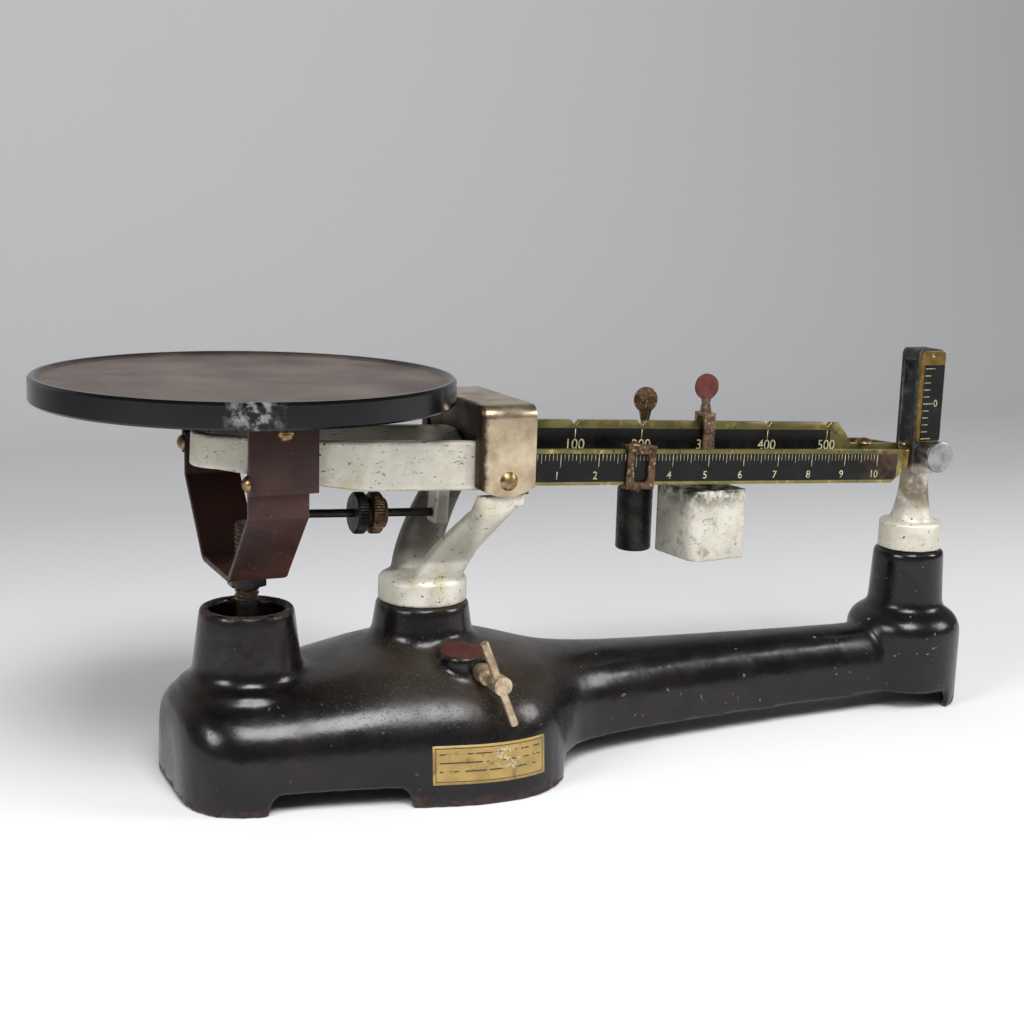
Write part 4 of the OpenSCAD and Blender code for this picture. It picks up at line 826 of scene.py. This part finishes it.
def lineBox(form, left, right, low, high, front, back):
    made = bmesh.ops.create_cube(form, size=1)["verts"]
    size = Matrix.Diagonal((right - left, back - front, high - low, 1))
    place = Matrix.Translation(((left + right) / 2, (front + back) / 2, (low + high) / 2))
    bmesh.ops.transform(form, matrix=place @ size, verts=made)


markDepth = 0.03  # how far a filled mark stands proud of its scale
capShare = 0.7  # height of a numeral as a share of its font size


def addNumeral(form, text, height, x, y, z):
    curve = bpy.data.curves.new("numeral", "FONT")
    curve.body = text
    curve.size = height / capShare
    curve.align_x = "CENTER"
    curve.align_y = "CENTER"
    curve.extrude = markDepth * mm
    holder = bpy.data.objects.new("numeral", curve)
    bpy.context.scene.collection.objects.link(holder)
    bpy.context.view_layer.update()
    mesh = bpy.data.meshes.new_from_object(holder.evaluated_get(bpy.context.evaluated_depsgraph_get()))
    bpy.data.objects.remove(holder)
    mesh.transform(Matrix.Translation((x, y, z)) @ Matrix.Rotation(math.pi / 2, 4, "X"))
    form.from_mesh(mesh)


gramScale = {
    "first": 49.55, "pitch": 16.659, "count": 10, "leading": 8,
    "short": 2.7, "half": 3.7, "long": 5.2, "line": 0.2, "bold": 1.5,
    "numeral": 3.1, "numeralDrop": 8.6, "numeralShift": -1.3,
    "faceTop": 1.4,  # above the fulcrum, beams level
}
notchScale = {
    "first": 63.2, "pitch": 30.2, "count": 5, "long": 4.4, "line": 0.35, "numeral": 4.2, "numeralDrop": 6.6,
    "faceTop": 9.2,
}


def gramMarks(name, face, spec, step):
    # ten divisions to a gram, and a few more before the first numeral
    form = bmesh.new()
    low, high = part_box(face)
    front = low.y - markDepth * mm
    top = fulcrum.z + spec["faceTop"] * mm
    for tenth in range(-spec["leading"], (spec["count"] - 1) * 10 + 1):
        x = postX + (spec["first"] + spec["pitch"] * tenth / 10) * mm
        if x < low.x + 1 * mm:
            continue
        length = spec["short"]
        wide = spec["line"] * mm / 2
        if tenth % 5 == 0:
            length = spec["half"]
        if tenth % 10 == 0:
            length = spec["long"]
            wide *= spec["bold"]
        lineBox(form, x - wide, x + wide, top - length * mm, top - 0.2 * mm, front, low.y)
    for gram in range(spec["count"]):
        x = postX + (spec["first"] + spec["pitch"] * gram + spec["numeralShift"]) * mm
        z = top - spec["numeralDrop"] * mm
        addNumeral(form, str(step * (gram + 1)), spec["numeral"] * mm, x, low.y, z)
    bmesh.ops.transform(form, matrix=onBeam, verts=form.verts)
    return addPiece(name, toMesh(form, name), "beam", "cream fill")


gramMarks("gramMarks", "front_scale", gramScale, 1)
gramMarks("tenMarks", "rear_scale", gramScale, 10)


def notchMarks(spec):
    form = bmesh.new()
    low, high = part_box("middle_scale")
    front = low.y - markDepth * mm
    top = fulcrum.z + spec["faceTop"] * mm
    wide = spec["line"] * mm / 2
    for n in range(spec["count"]):
        x = postX + (spec["first"] + spec["pitch"] * n) * mm
        lineBox(form, x - wide, x + wide, top - spec["long"] * mm, top - 0.3 * mm, front, low.y)
        z = top - spec["numeralDrop"] * mm
        addNumeral(form, str(100 * (n + 1)), spec["numeral"] * mm, x, low.y, z)
    bmesh.ops.transform(form, matrix=onBeam, verts=form.verts)
    return addPiece("notchMarks", toMesh(form, "notchMarks"), "beam", "cream fill")


notchMarks(notchScale)

indexScale = {"lowest": 119.25, "highest": 149.85, "count": 11, "short": 3.4, "long": 5.4, "line": 0.32,
              "numeral": 3.0, "numeralGap": 1.4}


def indexMarks(spec):
    form = bmesh.new()
    low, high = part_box("index_face")
    front = low.y - markDepth * mm
    left = low.x + 0.2 * mm
    gap = (spec["highest"] - spec["lowest"]) / (spec["count"] - 1)
    middle = spec["count"] // 2
    wide = spec["line"] * mm / 2
    for n in range(spec["count"]):
        z = (spec["lowest"] + gap * n) * mm
        reach = spec["long"] if n in (0, middle, spec["count"] - 1) else spec["short"]
        lineBox(form, left, low.x + reach * mm, z - wide, z + wide, front, low.y)
    zeroX = low.x + (spec["long"] + spec["numeralGap"]) * mm
    zeroZ = (spec["lowest"] + gap * middle) * mm
    addNumeral(form, "0", spec["numeral"] * mm, zeroX, low.y, zeroZ)
    return addPiece("indexMarks", toMesh(form, "indexMarks"), "stand", "cream fill")


indexMarks(indexScale)
print("scales marked")


# Gold label laid on the casting's near side

def layLabel(spec):
    form = bmesh.new()
    bmesh.ops.create_grid(form, x_segments=36, y_segments=14, size=0.5)
    size = Matrix.Diagonal(((spec["right"] - spec["left"]) * mm, (spec["high"] - spec["low"]) * mm, 1, 1))
    middleX = postX + (spec["left"] + spec["right"]) * mm / 2
    middleZ = (spec["low"] + spec["high"]) * mm / 2
    middle = Vector((middleX, -0.2, middleZ))  # well in front of the casting
    place = Matrix.Translation(middle) @ Matrix.Rotation(math.pi / 2, 4, "X") @ size
    bmesh.ops.transform(form, matrix=place, verts=form.verts)
    casting = BVHTree.FromPolygons([v.co for v in cast["base"].data.vertices],
                                   [list(f.vertices) for f in cast["base"].data.polygons])
    for vertex in form.verts:
        met = casting.ray_cast(vertex.co, Vector((0, 1, 0)))
        if met[0]:
            vertex.co = met[0] + Vector((0, -spec["lift"] * mm, 0))
    bmesh.ops.smooth_vert(form, verts=form.verts, factor=0.5, use_axis_y=True)
    bmesh.ops.recalc_face_normals(form, faces=form.faces)
    bmesh.ops.solidify(form, geom=form.faces[:], thickness=-spec["thick"] * mm)
    return addPiece("goldLabel", toMesh(form, "goldLabel"), "stand", "gold label")


layLabel(label)


# Screw threads: a ridge wound round a rod by a screw-wise spin

threads = (
    {"name": "rodThreadUpper", "low": 84.2, "high": 98.8},
    {"name": "rodThreadLower", "low": 69.0, "high": 75.2},
)
threadForm = {"radius": 4.0, "pitch": 1.6, "sunk": 0.25, "crest": 0.55, "steps": 28,
              "flankEnd": 0.38, "landEnd": 0.5, "rootStart": 0.88}


def windThread(spec, shape):
    form = bmesh.new()
    pitch = shape["pitch"] * mm
    turns = (spec["high"] - spec["low"]) / shape["pitch"]
    x = panKnife.x
    sunk = (shape["radius"] - shape["sunk"]) * mm
    crest = (shape["radius"] + shape["crest"]) * mm
    low = spec["low"] * mm
    corners = [(sunk, low), (crest, low + pitch * shape["flankEnd"]), (crest, low + pitch * shape["landEnd"]),
               (sunk, low + pitch * shape["rootStart"])]
    ring = [form.verts.new((x + r, 0, z)) for r, z in corners]
    form.faces.new(ring)
    steps = int(turns * shape["steps"])
    lift = Vector((0, 0, pitch * turns / steps))
    bmesh.ops.spin(form, geom=form.verts[:] + form.edges[:] + form.faces[:], cent=(x, 0, 0), axis=(0, 0, 1),
                   dvec=lift, angle=2 * math.pi * turns, steps=steps)
    bmesh.ops.recalc_face_normals(form, faces=form.faces)
    piece = addPiece(spec["name"], toMesh(form, spec["name"]), "yoke", "brown brass")
    piece.data.set_sharp_from_angle(angle=math.radians(30))


for thread in threads:
    windThread(thread, threadForm)


# Balance nuts: knurled on the edge, with a turned step towards the fulcrum

nutNames = {"balance_nut_outer": "outerNutKnurled", "balance_nut_inner": "innerNutKnurled"}
nutForm = {
    "radius": 8.0, "thick": 6.0, "bore": 1.66, "chamfer": 0.8, "teeth": 44, "depth": 0.35,
    "knurlStart": 0.7, "knurlEnd": 3.9, "shoulder": 4.5, "stepStart": 4.6, "stepRadius": 5.76,
}


def knurlNut(nodeName, name, shape):
    node = frame["nodes"][nodeName]
    centre = sum((Vector(corner) for corner in node.bound_box), Vector()) / 8
    form = bmesh.new()
    full = shape["radius"]
    slim = full - shape["chamfer"]
    rows = ((0, slim, False), (shape["knurlStart"], full, True), (shape["knurlEnd"], full, True),
            (shape["shoulder"], slim, False), (shape["stepStart"], shape["stepRadius"], False),
            (shape["thick"], shape["stepRadius"], False))
    loops = []

    def addRing(along, radius, knurled):
        made = bmesh.ops.create_circle(form, segments=2 * shape["teeth"], radius=radius * mm)["verts"]
        if knurled:
            for vertex in made[::2]:
                vertex.co *= 1 - shape["depth"] / full
        bmesh.ops.translate(form, verts=made, vec=(0, 0, (along - shape["thick"] / 2) * mm))
        loops.append(list({edge for vertex in made for edge in vertex.link_edges}))

    for along, radius, knurled in rows:
        addRing(along, radius, knurled)
    for first, second in zip(loops, loops[1:]):
        bmesh.ops.bridge_loops(form, edges=first + second)
    outer = (loops[0], loops[-1])
    for loop, along in zip(outer, (0, shape["thick"])):
        addRing(along, shape["bore"], False)
        bmesh.ops.bridge_loops(form, edges=loop + loops[-1])
    bmesh.ops.bridge_loops(form, edges=loops[-2] + loops[-1])
    bmesh.ops.recalc_face_normals(form, faces=form.faces)
    turned = Matrix.Translation(centre) @ tilted @ Matrix.Rotation(math.pi / 2, 4, "Y")
    bmesh.ops.transform(form, matrix=turned, verts=form.verts)
    piece = addPiece(name, toMesh(form, name), bodyOf(nodeName), nodeFinish[nodeName])
    piece.data.set_sharp_from_angle(angle=math.radians(12))
    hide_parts(nodeName)


for nodeName, name in nutNames.items():
    knurlNut(nodeName, name, nutForm)
print("label, threads and knurls made")


# Studio: pale floor that sweeps up into a grey wall

studio = {"near": -2.4, "turn": 0.75, "radius": 0.5, "top": 2.2, "half": 3.5}


def buildStudio(spec):
    form = bmesh.new()
    half = spec["half"]
    edge = form.edges.new([form.verts.new((x, spec["near"], 0)) for x in (-half, half)])
    made = bmesh.ops.extrude_edge_only(form, edges=[edge])["geom"]
    verts = [item for item in made if isinstance(item, bmesh.types.BMVert)]
    bmesh.ops.translate(form, verts=verts, vec=(0, spec["turn"] - spec["near"], 0))
    edges = [item for item in made if isinstance(item, bmesh.types.BMEdge)]
    made = bmesh.ops.spin(form, geom=edges, cent=(0, spec["turn"], spec["radius"]), axis=(1, 0, 0),
                          angle=math.pi / 2, steps=24)["geom_last"]
    edges = [item for item in made if isinstance(item, bmesh.types.BMEdge)]
    made = bmesh.ops.extrude_edge_only(form, edges=edges)["geom"]
    verts = [item for item in made if isinstance(item, bmesh.types.BMVert)]
    bmesh.ops.translate(form, verts=verts, vec=(0, 0, spec["top"]))
    mesh = toMesh(form, "studioSweep")
    for polygon in mesh.polygons:
        polygon.use_smooth = True
    sweep = bpy.data.objects.new("studioSweep", mesh)
    bpy.context.scene.collection.objects.link(sweep)
    return sweep


def paperSweep(tree, where, axes):
    # white bench paper, with painted shade greying it towards the wall
    tone = addNode(tree, "Mix",
                   {0: addNode(tree, "MapRange", span(axes["Y"], -0.2, 0.5)), 6: srgb("#f2f2f3"),
                    7: srgb("#c3c3c5")}, 2, data_type="RGBA")
    return {"Base Color": tone, "Roughness": 0.9, "Normal": grained(tree, where, 4, 0.02, 0.2)}


sweep = buildStudio(studio)
sweep.data.materials.append(finish("bench paper", paperSweep))

lamps = (
    {"name": "softTopFront", "place": (-0.2, -1.0, 1.4), "aim": (0, 0, 0.08), "size": 0.7, "watts": 25.5},
    {"name": "softLeft", "place": (-1.3, -0.5, 0.8), "aim": (-0.1, 0, 0.1), "size": 0.5, "watts": 10.5},
    {"name": "softRight", "place": (1.2, -0.6, 0.75), "aim": (0.1, 0, 0.1), "size": 0.5, "watts": 8},
)


def addLamp(spec):
    data = bpy.data.lights.new(spec["name"], "AREA")
    data.shape = "SQUARE"
    data.size = spec["size"]
    data.energy = spec["watts"]
    lamp = bpy.data.objects.new(spec["name"], data)
    direction = Vector(spec["aim"]) - Vector(spec["place"])
    turned = direction.to_track_quat("-Z", "Y").to_matrix().to_4x4()
    lamp.matrix_world = Matrix.Translation(spec["place"]) @ turned
    bpy.context.scene.collection.objects.link(lamp)


for lamp in lamps:
    addLamp(lamp)

world = bpy.data.worlds.new("studio")
bpy.context.scene.world = world
world.use_nodes = True
background = world.node_tree.nodes["Background"]
background.inputs["Color"].default_value = srgb("#c9cacc")
background.inputs["Strength"].default_value = 0.3
bpy.context.scene.view_settings.view_transform = "Standard"
print("studio lit")
